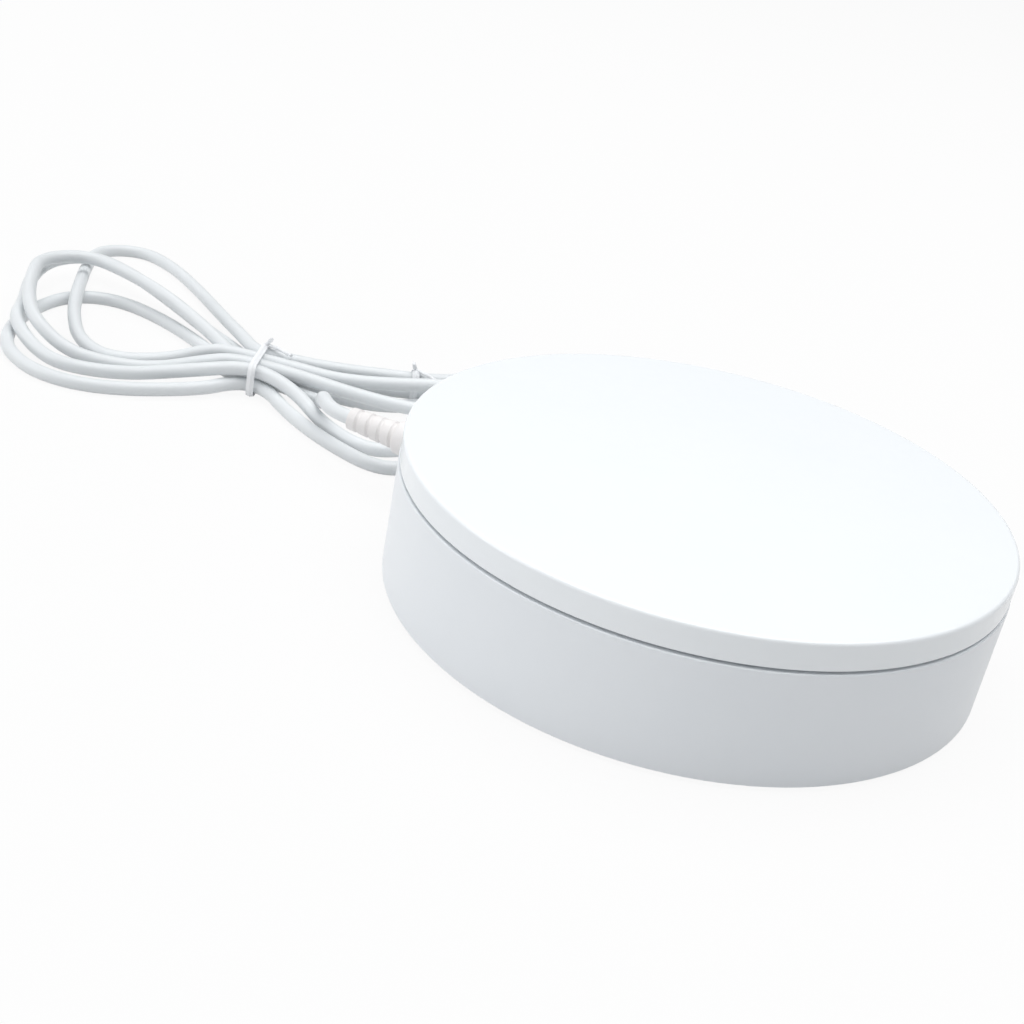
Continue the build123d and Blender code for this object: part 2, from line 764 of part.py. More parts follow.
with BuildPart() as slide_switch:
    with BuildSketch(board_plane.offset(board_top)):
        with Locations((switch_outer - switch_depth / 2, -switch_offset)):
            Rectangle(switch_depth, switch_length)
    extrude(amount=switch_height)
    lever_root = switch_outer - switch_depth / 2
    with BuildSketch(outward_plane(lever_root, board_azimuth, lever_centre, -switch_offset)):
        Rectangle(
            lever_width + switch_travel + 2 * lever_clearance,
            lever_height + 2 * lever_clearance,
        )
    extrude(amount=switch_depth, mode=Mode.SUBTRACT)
slide_switch.part.label = "slide_switch"
export_step(slide_switch.part, "parts/slide_switch.step")

with BuildPart() as switch_lever:
    lever_end = math.sqrt(base_radius**2 - switch_offset**2) + lever_stand
    lever_start = lever_root + lever_clearance
    with BuildSketch(outward_plane(lever_start, board_azimuth, lever_centre, -switch_offset)):
        Rectangle(lever_width, lever_height)
    extrude(amount=lever_end - lever_start)
    outward_axis = Axis(origin=(0, 0, 0), direction=polar_point(1, board_azimuth))
    fillet(switch_lever.faces().sort_by(outward_axis)[-1].edges(), edge_break)
switch_lever.part.label = "switch_lever"
export_step(switch_lever.part, "parts/switch_lever.step")

with BuildPart() as capacitor:
    with BuildSketch(board_plane.offset(board_top)):
        with Locations((board_inner + capacitor_inset, -capacitor_offset)):
            Circle(capacitor_radius)
    extrude(amount=capacitor_height)
    fillet(capacitor.edges().group_by(Axis.Z)[-1], capacitor_edge_round)
capacitor.part.label = "capacitor"
export_step(capacitor.part, "parts/capacitor.step")

with BuildPart() as driver_chip:
    with BuildSketch(board_plane.offset(board_top)):
        with Locations((board_inner + chip_inset, chip_offset)):
            Rectangle(chip_length, chip_width)
    extrude(amount=chip_height)
driver_chip.part.label = "driver_chip"
export_step(driver_chip.part, "parts/driver_chip.step")

with BuildPart() as motor_connector:
    with BuildSketch(board_plane.offset(board_top)):
        with Locations((board_inner + connector_inset, -connector_offset)):
            Rectangle(connector_length, connector_width)
    extrude(amount=connector_height)
motor_connector.part.label = "motor_connector"
export_step(motor_connector.part, "parts/motor_connector.step")


def corner_radii(points):
    """Arc radius at each inner corner: 0.45 of its shorter run over tan(half the turn)."""
    radii = []
    for before, corner, after in zip(points, points[1:], points[2:]):
        run_in = Vector(*corner) - Vector(*before)
        run_out = Vector(*after) - Vector(*corner)
        turn = math.radians(run_in.get_angle(run_out))
        radii.append(0.45 * min(run_in.length, run_out.length) / math.tan(turn / 2))
    return radii


def report_tube(name, tube, path_length, radius, radii):
    """Print a tube's bend radii and its volume against its section times its length."""
    ideal = math.pi * radius**2 * path_length
    print(name, "length", round(path_length, 1), "volume ratio", round(tube.volume / ideal, 4))
    print("   bend radii", [round(value, 1) for value in radii])


# Two wires from the motor, under the spindle, to the connector on the board
block_face = lead_block_x - lead_block_depth
block_height = motor_bottom + lead_block_lift + lead_block_height / 2
inner_connector = board_inner + connector_inset - connector_length / 2
wire_starts = []
for side in (-1, 1):
    start = outward_plane(block_face, motor_azimuth, block_height, side * wire_spacing / 2)
    wire_starts.append(start.origin)
wire_ends = []
for side in (1, -1):
    offset = side * wire_spacing / 2 - connector_offset
    wire_ends.append(outward_plane(inner_connector, board_azimuth, wire_height, offset).origin)
motor_outward = Vector(*polar_point(1, motor_azimuth))
board_outward = Vector(*polar_point(1, board_azimuth))
floor_height = cover_top + wire_radius + fit_clearance
with BuildPart() as motor_leads:
    for start, end in zip(wire_starts, wire_ends):
        after_start = start - motor_outward * wire_motor_run
        before_end = end - board_outward * wire_board_run
        span = before_end - after_start
        dip_one = after_start + span * 0.28
        dip_two = after_start + span * 0.62
        wire_points = [
            tuple(start),
            tuple(after_start),
            (dip_one.X, dip_one.Y, floor_height),
            (dip_two.X, dip_two.Y, floor_height + wire_rise),
            tuple(before_end),
            tuple(end),
        ]
        wire_radii = corner_radii(wire_points)
        with BuildLine() as wire_path:
            FilletPolyline(*wire_points, radius=wire_radii)
        with BuildSketch(Plane(origin=start, z_dir=-motor_outward)):
            Circle(wire_radius)
        sweep(path=wire_path.wire())
        print("motor wire bend radii", [round(value, 1) for value in wire_radii])
motor_leads.part.label = "motor_leads"
export_step(motor_leads.part, "parts/motor_leads.step")

# Barrel of the plug, seated in the jack
plug_plane = outward_plane(plug_face - barrel_length, board_azimuth, plug_axis)
with BuildPart() as dc_plug_barrel:
    with BuildSketch(plug_plane):
        Circle(barrel_radius)
        Circle(barrel_bore_radius, mode=Mode.SUBTRACT)
    extrude(amount=barrel_length)
dc_plug_barrel.part.label = "dc_plug_barrel"
export_step(dc_plug_barrel.part, "parts/dc_plug_barrel.step")

# Moulded grip and ribbed strain relief: a turned profile, grooves between the ribs
rib_pitch = relief_length / relief_ribs
groove_length = rib_pitch * 0.3
plug_profile = Plane(
    origin=(0, 0, plug_axis),
    x_dir=polar_point(1, board_azimuth),
    z_dir=polar_point(1, board_azimuth + 90),
)
with BuildPart() as dc_plug:
    with BuildSketch(plug_profile):
        with BuildLine():
            outline = [(plug_face, 0), (plug_face, grip_radius), (relief_start, grip_radius)]
            for rib in range(relief_ribs):
                rib_start = relief_start + rib * rib_pitch
                share = rib / relief_ribs
                rib_radius = relief_root_radius + (relief_tip_radius - relief_root_radius) * share
                outline.append((rib_start, rib_radius - relief_groove))
                outline.append((rib_start + groove_length, rib_radius - relief_groove))
                outline.append((rib_start + groove_length, rib_radius))
                outline.append((rib_start + rib_pitch, rib_radius))
            outline.append((plug_tip, 0))
            Polyline(*outline, close=True)
        make_face()
    plug_axis_line = Axis(origin=(0, 0, plug_axis), direction=polar_point(1, board_azimuth))
    revolve(axis=plug_axis_line)
dc_plug.part.label = "dc_plug"
export_step(dc_plug.part, "parts/dc_plug.step")

# Route of the hank. Each loop's corners lie on rays from the tie, as (angle, reach, height).
# A loop leaves the tie on the far side of the waist and comes back on the near side.
far_row = 1.5 * strand_step
upper_row = 0.5 * strand_step
lower_row = -0.5 * strand_step
near_row = -1.5 * strand_step
left_loops = [
    [
        (151, 25, 2.2), (147, 51, 2.0), (151, 71, 2.0), (160, 80, 2.0), (172, 79, 2.0),
        (184, 77, 2.0), (197, 73, 2.0), (211, 63, 2.0), (222, 47, 2.0), (234, 25, 2.2),
    ],
    [
        (131, 24, 2.4), (136, 40, 2.2), (140, 60, 4.4), (143, 80, 6.6), (146, 96, 7.0),
        (155, 98, 7.0), (166, 88, 6.8), (178, 77, 6.8), (188, 74, 6.8), (196, 65, 2.6),
        (204, 56, 2.0), (209, 39, 2.2), (219, 22, 6.0),
    ],
    [
        (142, 20, 4.4), (145, 35, 7.4), (147, 50, 10.0), (149, 70, 11.4), (151, 89, 11.4),
        (160, 90, 11.4), (170, 82, 11.4), (182, 73, 11.4), (190, 67, 8.6), (195, 56, 2.8),
        (199, 43, 2.0), (201, 30, 2.6), (206, 17, 7.0),
    ],
    [
        (125, 22, 6.6), (126, 44, 4.0), (126, 72, 2.2), (128, 97, 2.0), (133, 117, 2.0),
        (141, 112, 2.0), (149, 94, 2.0), (156, 84, 5.4), (163, 75, 7.6), (173, 65, 6.2),
        (184, 57, 3.0), (194, 44, 2.0), (188, 29, 2.8), (177, 17, 7.4),
    ],
]
# Row and layer in which each loop leaves the waist and comes back into it
waist_places = [
    (lower_row, strand_low, near_row, strand_low),
    (far_row, strand_low, near_row, strand_high),
    (upper_row, strand_low, lower_row, strand_high),
    (far_row, strand_high, upper_row, strand_high),
]
# Bends behind the drum that join one loop to the next, as x, y and height
right_bends = [
    [
        (-120, 48, 2), (-104, 35.5, 2), (-85, 26.5, 2), (-76, 38, 2), (-69, 56, 2), (-50, 74, 2),
        (-38, 94, 2), (-50, 109, 2), (-72, 104, 2), (-86.3, 82.5, 3.3), (-97.7, 78.5, 3.3), (-117, 74, 2.4),
    ],
    [
        (-119, 53.5, 5.8), (-108.5, 46, 2), (-92, 37, 2), (-84, 42, 2), (-78, 55, 2), (-68, 68, 2),
        (-56, 79, 2), (-52, 91, 2), (-62, 97, 2), (-78, 85, 2), (-96, 68, 2), (-114, 66, 2),
    ],
    [
        (-116, 61.7, 7.2), (-98, 60.5, 6.6), (-82, 62, 6.6), (-67, 71, 6.6), (-60, 84, 6.6),
        (-66, 94, 6.8), (-77, 92, 7.4), (-86.3, 82.5, 7.9), (-97.7, 78.5, 7.9), (-117, 74, 7.2),
    ],
]


def ray_point(angle, reach, height):
    """A corner of a loop, on a ray from the tie."""
    turn = math.radians(angle)
    return (hank_centre[0] + reach * math.cos(turn), hank_centre[1] + reach * math.sin(turn), height)


def waist_point(side, row, layer, way):
    """Corner where a strand starts to bend away from the waist; outer rows bend first."""
    half = waist_half - waist_stagger * (row / strand_step * way - 0.5)
    return (hank_centre[0] + side * half, hank_centre[1] + row, layer)


first_row, first_layer = waist_places[0][0], waist_places[0][1]
last_row, last_layer = waist_places[-1][2], waist_places[-1][3]
hank_points = [
    (hank_centre[0] + hank_start, hank_centre[1] + first_row, first_layer),
    (hank_centre[0] - hank_start, hank_centre[1] + first_row, first_layer),
]
for number, loop in enumerate(left_loops):
    row_out, layer_out, row_back, layer_back = waist_places[number]
    if number > 0:
        hank_points.append(waist_point(1, row_out, layer_out, 1))
    hank_points.append(waist_point(-1, row_out, layer_out, 1))
    hank_points += [ray_point(*corner) for corner in loop]
    hank_points.append(waist_point(-1, row_back, layer_back, -1))
    if number < len(right_bends):
        hank_points.append(waist_point(1, row_back, layer_back, -1))
        hank_points += right_bends[number]
hank_points += [
    (hank_centre[0] - hank_start, hank_centre[1] + last_row, last_layer),
    (hank_centre[0] + hank_start, hank_centre[1] + last_row, last_layer),
]


def biarc_spans(points):
    """Arcs (start, end, tangent at start) through the midpoints of the runs.

    Each corner is turned by two tangent arcs, from the middle of the run before it
    to the middle of the run after it."""
    corners = [Vector(*point) for point in points]
    knots = [corners[0]]
    tangents = [(corners[1] - corners[0]).normalized()]
    for before, after in zip(corners[1:-2], corners[2:-1]):
        knots.append((before + after) / 2)
        tangents.append((after - before).normalized())
    knots.append(corners[-1])
    tangents.append((corners[-1] - corners[-2]).normalized())
    spans = []
    for start, end, leave, arrive in zip(knots, knots[1:], tangents, tangents[1:]):
        chord = end - start
        both = leave + arrive
        quadratic = 2 * (leave.dot(arrive) - 1)
        linear = -2 * chord.dot(both)
        constant = chord.dot(chord)
        if abs(quadratic) < 1e-9:
            reach = -constant / linear
        else:
            root = math.sqrt(linear**2 - 4 * quadratic * constant)
            reach = max((-linear + root) / 2 / quadratic, (-linear - root) / 2 / quadratic)
        first_control = start + leave * reach
        second_control = end - arrive * reach
        middle = (first_control + second_control) / 2
        spans.append((start, middle, leave))
        spans.append((middle, end, (second_control - first_control).normalized()))
    return spans


def arc_radius(start, end, tangent):
    """Radius of the arc that leaves start along tangent and ends at end."""
    chord = end - start
    angle = math.radians(chord.get_angle(tangent))
    return chord.length / 2 / max(math.sin(angle), 1e-6)


def least_self_gap(points, lengths, radius, skip):
    """Least free distance between parts of one tube that lie more than skip apart along it."""
    least = float("inf")
    for number, (point, length) in enumerate(zip(points, lengths)):
        for other, other_length in zip(points[number + 1 :], lengths[number + 1 :]):
            if other_length - length > skip:
                distance = (point - other).length
                least = min(least, distance)
    return least - 2 * radius


hank_spans = biarc_spans(hank_points)
with BuildPart() as cord_hank:
    with BuildLine() as hank_path:
        for start, end, tangent in hank_spans:
            if abs(tangent.get_angle(end - start)) < 1e-4:
                Line(start, end)
            else:
                TangentArc(start, end, tangent=tangent)
    hank_wire = hank_path.wire()
    with BuildSketch(Plane(origin=hank_wire @ 0, z_dir=hank_wire % 0)):
        Circle(cord_radius)
    sweep(path=hank_wire)
cord_hank.part.label = "cord_hank"
export_step(cord_hank.part, "parts/cord_hank.step")

hank_length = hank_wire.length
sample_count = int(hank_length / 1.5)
hank_samples = [hank_wire @ (step / sample_count) for step in range(sample_count + 1)]
sample_lengths = [hank_length * step / sample_count for step in range(sample_count + 1)]
hank_gap = least_self_gap(hank_samples, sample_lengths, cord_radius, 6 * cord_radius)
print("hank least gap to itself", round(hank_gap, 2))
report_tube("hank", cord_hank.part, hank_length, cord_radius, [arc_radius(*span) for span in hank_spans])

# Free stretch from the plug's tip to the hank
lead_points = [
    polar_point(plug_tip, board_azimuth, plug_axis),
    polar_point(plug_tip + 6.6, board_azimuth, plug_axis),
    (-107.2, 32.0, 14.2),
    (-110.2, 40.5, 11.6),
    (-108.7, 48.7, 7.6),
    (-111.9, 55.7, 4.2),
    (-118.0, 60.3, 2.6),
    (-125.7, hank_points[0][1], hank_points[0][2]),
    hank_points[0],
]
with BuildPart() as cord_lead:
    lead_radii = corner_radii(lead_points)
    with BuildLine() as lead_path:
        FilletPolyline(*lead_points, radius=lead_radii)
    lead_wire = lead_path.wire()
    with BuildSketch(Plane(origin=lead_wire @ 0, z_dir=lead_wire % 0)):
        Circle(cord_radius)
    sweep(path=lead_wire)
cord_lead.part.label = "cord_lead"
export_step(cord_lead.part, "parts/cord_lead.step")
report_tube("lead", cord_lead.part, lead_wire.length, cord_radius, lead_radii)

# Free stretch from the hank, over the bends, round behind the drum to the far plug
usb_entry = Vector(27, 100.2, usb_grip_height / 2)
tail_points = [
    hank_points[-1],
    (-124, hank_points[-1][1], hank_points[-1][2]),
    (-112, 67.2, 7.2),
    (-98, 71, 8),
    (-84, 73, 10.6),
    (-68, 77, 11.8),
    (-54, 83, 11.4),
    (-42, 88, 7.5),
    (-31, 94.5, 3.6),
    (-18, 101, 2),
    (-4, 104.8, 2),
    (8, 105.3, 2.3),
    (18, 103.2, usb_grip_height / 2),
    tuple(usb_entry),
]
usb_heading = (usb_entry - Vector(*tail_points[-2])).normalized()
with BuildPart() as cord_tail:
    tail_radii = corner_radii(tail_points)
    with BuildLine() as tail_path:
        FilletPolyline(*tail_points, radius=tail_radii)
    tail_wire = tail_path.wire()
    with BuildSketch(Plane(origin=tail_wire @ 0, z_dir=tail_wire % 0)):
        Circle(cord_radius)
    sweep(path=tail_wire)
cord_tail.part.label = "cord_tail"
export_step(cord_tail.part, "parts/cord_tail.step")
report_tube("tail", cord_tail.part, tail_wire.length, cord_radius, tail_radii)

# Flat plug at the far end, lying on the floor behind the drum
usb_plane = Plane(origin=usb_entry, x_dir=usb_heading.cross(Vector(0, 0, 1)), z_dir=usb_heading)
with BuildPart() as usb_plug_grip:
    with BuildSketch(usb_plane):
        Circle(cord_radius + usb_relief_wall)
    with BuildSketch(usb_plane.offset(usb_relief_length)):
        Circle(usb_relief_radius)
    loft()
    with BuildSketch(usb_plane.offset(usb_relief_length)):
        RectangleRounded(usb_grip_width, usb_grip_height, usb_grip_round)
    extrude(amount=usb_grip_length)
usb_plug_grip.part.label = "usb_plug_grip"
export_step(usb_plug_grip.part, "parts/usb_plug_grip.step")

usb_front = usb_relief_length + usb_grip_length
with BuildPart() as usb_plug_shell:
    with BuildSketch(usb_plane.offset(usb_front)):
        Rectangle(usb_shell_width, usb_shell_height)
        inner_width = usb_shell_width - 2 * usb_shell_wall
        inner_height = usb_shell_height - 2 * usb_shell_wall
        Rectangle(inner_width, inner_height, mode=Mode.SUBTRACT)
    extrude(amount=usb_shell_length)
usb_plug_shell.part.label = "usb_plug_shell"
export_step(usb_plug_shell.part, "parts/usb_plug_shell.step")

with BuildPart() as usb_plug_tongue:
    with BuildSketch(usb_plane.offset(usb_front)):
        with Locations((0, (inner_height - usb_tongue_height) / 2)):
            Rectangle(inner_width - 2 * usb_tongue_clearance, usb_tongue_height)
    extrude(amount=usb_shell_length - usb_tongue_recess)
usb_plug_tongue.part.label = "usb_plug_tongue"
export_step(usb_plug_tongue.part, "parts/usb_plug_tongue.step")



def tie_plane(centre, heading):
    """Upright plane across the bundle: x runs sideways, y is up."""
    return Plane(
        origin=(centre[0], centre[1], 0),
        x_dir=polar_point(1, heading + 90),
        z_dir=polar_point(1, heading),
    )


def tie_corners(half_width, low, high):
    """Corners of a tie's ring, at the wire's centre."""
    return [(-half_width, high), (-half_width, low), (half_width, low), (half_width, high)]


# Wire tie round the waist of the hank, with its two twisted ends
tie_edge = tie_gap + tie_wire_radius
tie_low = strand_low - cord_radius - tie_edge
tie_high = strand_high + cord_radius + tie_edge
near_half = far_row + cord_radius + near_tie_room + tie_wire_radius
near_plane = tie_plane(near_tie_centre, near_tie_heading)
near_root = near_plane.from_local_coords(Vector(near_half - cord_radius - tie_edge, tie_high, 0))
near_ends = [
    [near_root, near_root + Vector(5.0, -2.0, 0.8), near_root + Vector(9.6, -4.8, 0.5)],
    [near_root, near_root + Vector(1.4, -0.8, 1.9), near_root + Vector(2.4, -2.4, 3.0)],
]
with BuildPart() as cord_tie_near:
    with BuildLine(near_plane) as near_ring:
        FilletPolyline(
            *tie_corners(near_half, tie_low, tie_high), radius=cord_radius + tie_edge, close=True
        )
    near_wire = near_ring.wire()
    with BuildSketch(Plane(origin=near_wire @ 0, z_dir=near_wire % 0)):
        Circle(tie_wire_radius)
    sweep(path=near_wire)
    for end_points in near_ends:
        with BuildLine() as end_line:
            FilletPolyline(*end_points, radius=tie_bend)
        end_wire = end_line.wire()
        with BuildSketch(Plane(origin=end_wire @ 0, z_dir=end_wire % 0)):
            Circle(tie_wire_radius)
        sweep(path=end_wire)
cord_tie_near.part.label = "cord_tie_near"
export_step(cord_tie_near.part, "parts/cord_tie_near.step")

# Wire tie round two strands by the drum
far_low = far_tie_strands[0] - cord_radius - tie_edge
far_high = far_tie_strands[1] + cord_radius + tie_edge
far_half = cord_radius + tie_edge
far_plane = tie_plane(far_tie_centre, far_tie_heading)
far_root = far_plane.from_local_coords(Vector(0, far_high, 0))
far_ends = [
    [far_root, far_root + Vector(3.6, -1.4, 0.4), far_root + Vector(7.2, -3.0, -0.6)],
    [far_root, far_root + Vector(-0.8, -0.5, 1.5), far_root + Vector(-0.6, -1.6, 2.8)],
]
with BuildPart() as cord_tie_far:
    with BuildLine(far_plane) as far_ring:
        FilletPolyline(*tie_corners(far_half, far_low, far_high), radius=far_half * 0.98, close=True)
    far_wire = far_ring.wire()
    with BuildSketch(Plane(origin=far_wire @ 0, z_dir=far_wire % 0)):
        Circle(tie_wire_radius)
    sweep(path=far_wire)
    for end_points in far_ends:
        with BuildLine() as end_line:
            FilletPolyline(*end_points, radius=tie_bend)
        end_wire = end_line.wire()
        with BuildSketch(Plane(origin=end_wire @ 0, z_dir=end_wire % 0)):
            Circle(tie_wire_radius)
        sweep(path=end_wire)
cord_tie_far.part.label = "cord_tie_far"
export_step(cord_tie_far.part, "parts/cord_tie_far.step")
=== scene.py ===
"""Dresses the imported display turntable: its mouldings, its tied lead and plugs, and its works.

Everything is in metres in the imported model's own frame: +Z up, the plate's axis through the
origin, and the feet and the lead on z = 0. Route points and small sizes are written in
millimetres, as a maker's drawing has them, and scaled once.
"""

import logging
import math
from collections.abc import Sequence
from dataclasses import dataclass, field
from enum import Enum

import bmesh
import bpy
import numpy as np
from mathutils import Matrix

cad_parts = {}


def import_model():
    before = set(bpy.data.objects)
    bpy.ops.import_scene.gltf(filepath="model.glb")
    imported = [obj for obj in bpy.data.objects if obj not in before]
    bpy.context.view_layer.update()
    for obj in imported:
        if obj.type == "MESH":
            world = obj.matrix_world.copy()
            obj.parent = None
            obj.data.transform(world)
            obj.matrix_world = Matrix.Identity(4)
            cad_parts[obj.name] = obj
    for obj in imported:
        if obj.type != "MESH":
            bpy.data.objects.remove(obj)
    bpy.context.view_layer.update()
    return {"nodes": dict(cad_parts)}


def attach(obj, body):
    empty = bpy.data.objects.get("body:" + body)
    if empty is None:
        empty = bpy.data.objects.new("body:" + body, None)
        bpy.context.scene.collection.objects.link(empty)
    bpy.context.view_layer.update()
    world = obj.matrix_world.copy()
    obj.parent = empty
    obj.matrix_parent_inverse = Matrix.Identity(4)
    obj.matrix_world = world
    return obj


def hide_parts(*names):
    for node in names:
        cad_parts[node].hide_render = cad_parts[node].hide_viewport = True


LOG = logging.getLogger("turntable")
MM = 0.001
# Metres within which the points at poles and seams are one
MERGE_REACH = 2e-6
# Most of Blender's noise lies between these values
NOISE_LOW, NOISE_HIGH = 0.3, 0.7
# Width of a patch of wear, in grains
WEAR_GRAINS = 6
LEAST_ROUGHNESS = 0.02
COAT_ROUGHNESS = 0.08
# Cosine above which two directions count as one
ALIGNED = 0.9
X_AXIS, Y_AXIS, UP = np.eye(3)
Array = np.ndarray
Corner = tuple[float, float, float]
Piece = bpy.types.Object
Surface = tuple[Array, list[list[int]]]


# Colours and nodes


def linear(code: str) -> tuple[float, float, float, float]:
    """Turn an sRGB hex colour into linear light.

    Each channel c in 0 to 1 becomes c / 12.92 below 0.04045, else ((c + 0.055) / 1.055) ** 2.4.

    Args:
        code: six hex digits, such as "f4f6f8".

    Returns:
        Red, green, blue and an alpha of 1.
    """
    channels = [int(code[i : i + 2], 16) / 255 for i in (0, 2, 4)]
    light = [c / 12.92 if c <= 0.04045 else ((c + 0.055) / 1.055) ** 2.4 for c in channels]
    return (light[0], light[1], light[2], 1.0)


def add_node(
    tree: bpy.types.NodeTree, kind: str, settings: dict | None = None, **inputs: object
) -> bpy.types.Node:
    """Add one shader node with its settings, socket values and links.

    Args:
        tree: node tree that gets the node.
        kind: Blender's class name of the node.
        settings: attributes of the node itself, such as an operation.
        inputs: values by socket name, spaces written as underscores, or by n and the socket's
            number; a value that is a socket is linked.

    Returns:
        The new node.
    """
    node = tree.nodes.new(kind)
    for key, value in (settings or {}).items():
        setattr(node, key, value)
    for key, value in inputs.items():
        name = key.replace("_", " ")
        socket = node.inputs[int(key[1:])] if key[0] == "n" and key[1:].isdigit() else node.inputs[name]
        if isinstance(value, bpy.types.NodeSocket):
            tree.links.new(value, socket)
        else:
            socket.default_value = value
    return node


def add_noise(
    tree: bpy.types.NodeTree, source: bpy.types.NodeSocket, width_mm: float, detail: float
) -> bpy.types.NodeSocket:
    """Add noise whose patches are width_mm wide, and return its value."""
    noise = add_node(tree, "ShaderNodeTexNoise", Vector=source, Scale=1 / (width_mm * MM), Detail=detail)
    return noise.outputs["Fac"]


# Finishes


class Family(Enum):
    """What a finish is made of, which decides its sockets."""

    POLYMER = "polymer"
    METAL = "metal"


@dataclass(frozen=True)
class Finish:
    """A moulded, turned or plated finish with a fine surface and slow changes of tone.

    Attributes:
        name: the material's common name and how it was made.
        colour, shade: sRGB hex codes of the surface, and of what its slow tone drifts towards.
        roughness, spread: mean roughness, and how far it wanders.
        grain_mm, relief_mm: real width and height of the surface grain.
        family: polymer or metal.
        ior, coat: a polymer's index of refraction, and the weight of its glossy skin.
        drift_mm: size of the slow patches of tone.
        stretch: scale of the grain along X, Y and Z, for turned surfaces.
    """

    name: str
    colour: str
    shade: str
    roughness: float
    spread: float = 0.04
    grain_mm: float = 0.5
    relief_mm: float = 0.004
    family: Family = Family.POLYMER
    ior: float = 1.53
    coat: float = 0.0
    drift_mm: float = 25.0
    stretch: tuple[float, float, float] = (1.0, 1.0, 1.0)

    def material(self) -> bpy.types.Material:
        """Build the finish once and return it.

        Slow noise mixes the two colours, finer noise moves the roughness, and the finest,
        one grain wide, is the bump.

        Returns:
            The node-based material.
        """
        made = bpy.data.materials.get(self.name)
        if made is not None:
            return made
        made = bpy.data.materials.new(self.name)
        made.use_nodes = True
        tree = made.node_tree
        tree.nodes.clear()
        place = add_node(tree, "ShaderNodeTexCoord")
        turned = add_node(tree, "ShaderNodeMapping", Vector=place.outputs["Object"], Scale=self.stretch)
        drift = add_noise(tree, place.outputs["Object"], self.drift_mm, 3.0)
        wear = add_noise(tree, turned.outputs["Vector"], self.grain_mm * WEAR_GRAINS, 4.0)
        grain = add_noise(tree, turned.outputs["Vector"], self.grain_mm, 2.0)
        tone = add_node(
            tree, "ShaderNodeMix", {"data_type": "RGBA"}, Factor=drift,
            n6=linear(self.colour), n7=linear(self.shade),
        )
        rough = add_node(
            tree, "ShaderNodeMapRange", Value=wear, From_Min=NOISE_LOW, From_Max=NOISE_HIGH,
            To_Min=max(self.roughness - self.spread, LEAST_ROUGHNESS), To_Max=self.roughness + self.spread,
        )
        bump = add_node(tree, "ShaderNodeBump", Strength=1.0, Distance=self.relief_mm * MM, Height=grain)
        shader = add_node(
            tree, "ShaderNodeBsdfPrincipled", Base_Color=tone.outputs[2], Roughness=rough.outputs["Result"],
            Normal=bump.outputs["Normal"],
        )
        if self.family is Family.METAL:
            shader.inputs["Metallic"].default_value = 1.0
        else:
            shader.inputs["IOR"].default_value = self.ior
            shader.inputs["Coat Weight"].default_value = self.coat
            shader.inputs["Coat Roughness"].default_value = COAT_ROUGHNESS
        output = add_node(tree, "ShaderNodeOutputMaterial", Surface=shader.outputs["BSDF"])
        output.is_active_output = True
        return made


# Injection-moulded ABS, polished tool: an even, bright white with a soft broad sheen.
PLATE_ABS = Finish("white_abs_polished", "f6f9fb", "f3f7fa", 0.24, 0.03, 0.6, 0.002, coat=0.15)
# The same ABS from a finely spark-eroded tool: a little duller, so the wall shades evenly.
DRUM_ABS = Finish("white_abs_satin", "f1f4f7", "edf1f5", 0.34, 0.04, 0.5, 0.004)
# Plasticised PVC jacket: white with a faint violet cast and a waxy highlight.
JACKET_PVC = Finish("white_pvc_jacket", "e6e9eb", "dfe3e5", 0.38, 0.05, 0.9, 0.010, ior=1.52)
# Overmoulded soft PVC of the plugs: warmer and more matt than the jacket.
PLUG_PVC = Finish("white_pvc_overmould", "eeebea", "e8e5e4", 0.46, 0.05, 0.5, 0.008, ior=1.52)
# Polythene skin of a wire tie.
TIE_PE = Finish("white_pe_tie", "f3f4f6", "eef0f2", 0.42, 0.05, 0.4, 0.006, ior=1.5)
# Moulded nitrile rubber: near black, no sheen.
FOOT_RUBBER = Finish("black_rubber_moulded", "2c2c2e", "242426", 0.82, 0.06, 0.5, 0.02, ior=1.5)
# Zinc-plated steel, bright pressed: cool grey with a light drawn grain.
ZINC_STEEL = Finish("steel_zinc_plated", "b9bcc0", "a9adb2", 0.3, 0.08, 0.35, 0.003, Family.METAL)
# Nickel plate over brass: smooth and bright.
NICKEL = Finish("brass_nickel_plated", "cfcdc8", "c4c2bc", 0.16, 0.04, 0.4, 0.001, Family.METAL)
# Hardened and polished ball steel.
BALL_STEEL = Finish("steel_polished_ball", "c8cacd", "bdbfc3", 0.08, 0.02, 0.5, 0.0005, Family.METAL)
# Turned brass: warm, with the tool's rings close together along Z.
TURNED_BRASS = Finish(
    "brass_turned", "c9a45c", "b8924c", 0.26, 0.06, 0.5, 0.003, Family.METAL, stretch=(0.2, 0.2, 3.0)
)
# Natural acetal: milky white and slightly waxy.
ACETAL = Finish("acetal_natural", "e7e6dd", "dedcd1", 0.4, 0.05, 0.6, 0.004, ior=1.48)
# Natural nylon: a little yellower.
NYLON = Finish("nylon_natural", "e3decb", "d9d3bd", 0.45, 0.05, 0.6, 0.004, ior=1.53)
# Black ABS and epoxy mouldings.
BLACK_ABS = Finish("black_abs_moulded", "1d1e20", "17181a", 0.42, 0.06, 0.4, 0.006)
# Green solder mask over glass-epoxy board: glossy with the weave just below.
SOLDER_MASK = Finish("solder_mask_green", "1c5f34", "174f2b", 0.3, 0.06, 0.8, 0.006, coat=0.3)
# PVC insulation of the motor's wires.
RED_PVC = Finish("red_pvc_insulation", "b3241d", "9c1d18", 0.4, 0.05, 0.4, 0.006)
# Heat-shrunk sleeve of a small capacitor.
BLUE_SLEEVE = Finish("pvc_sleeve_dark_blue", "2a3357", "222a49", 0.3, 0.05, 0.5, 0.003)

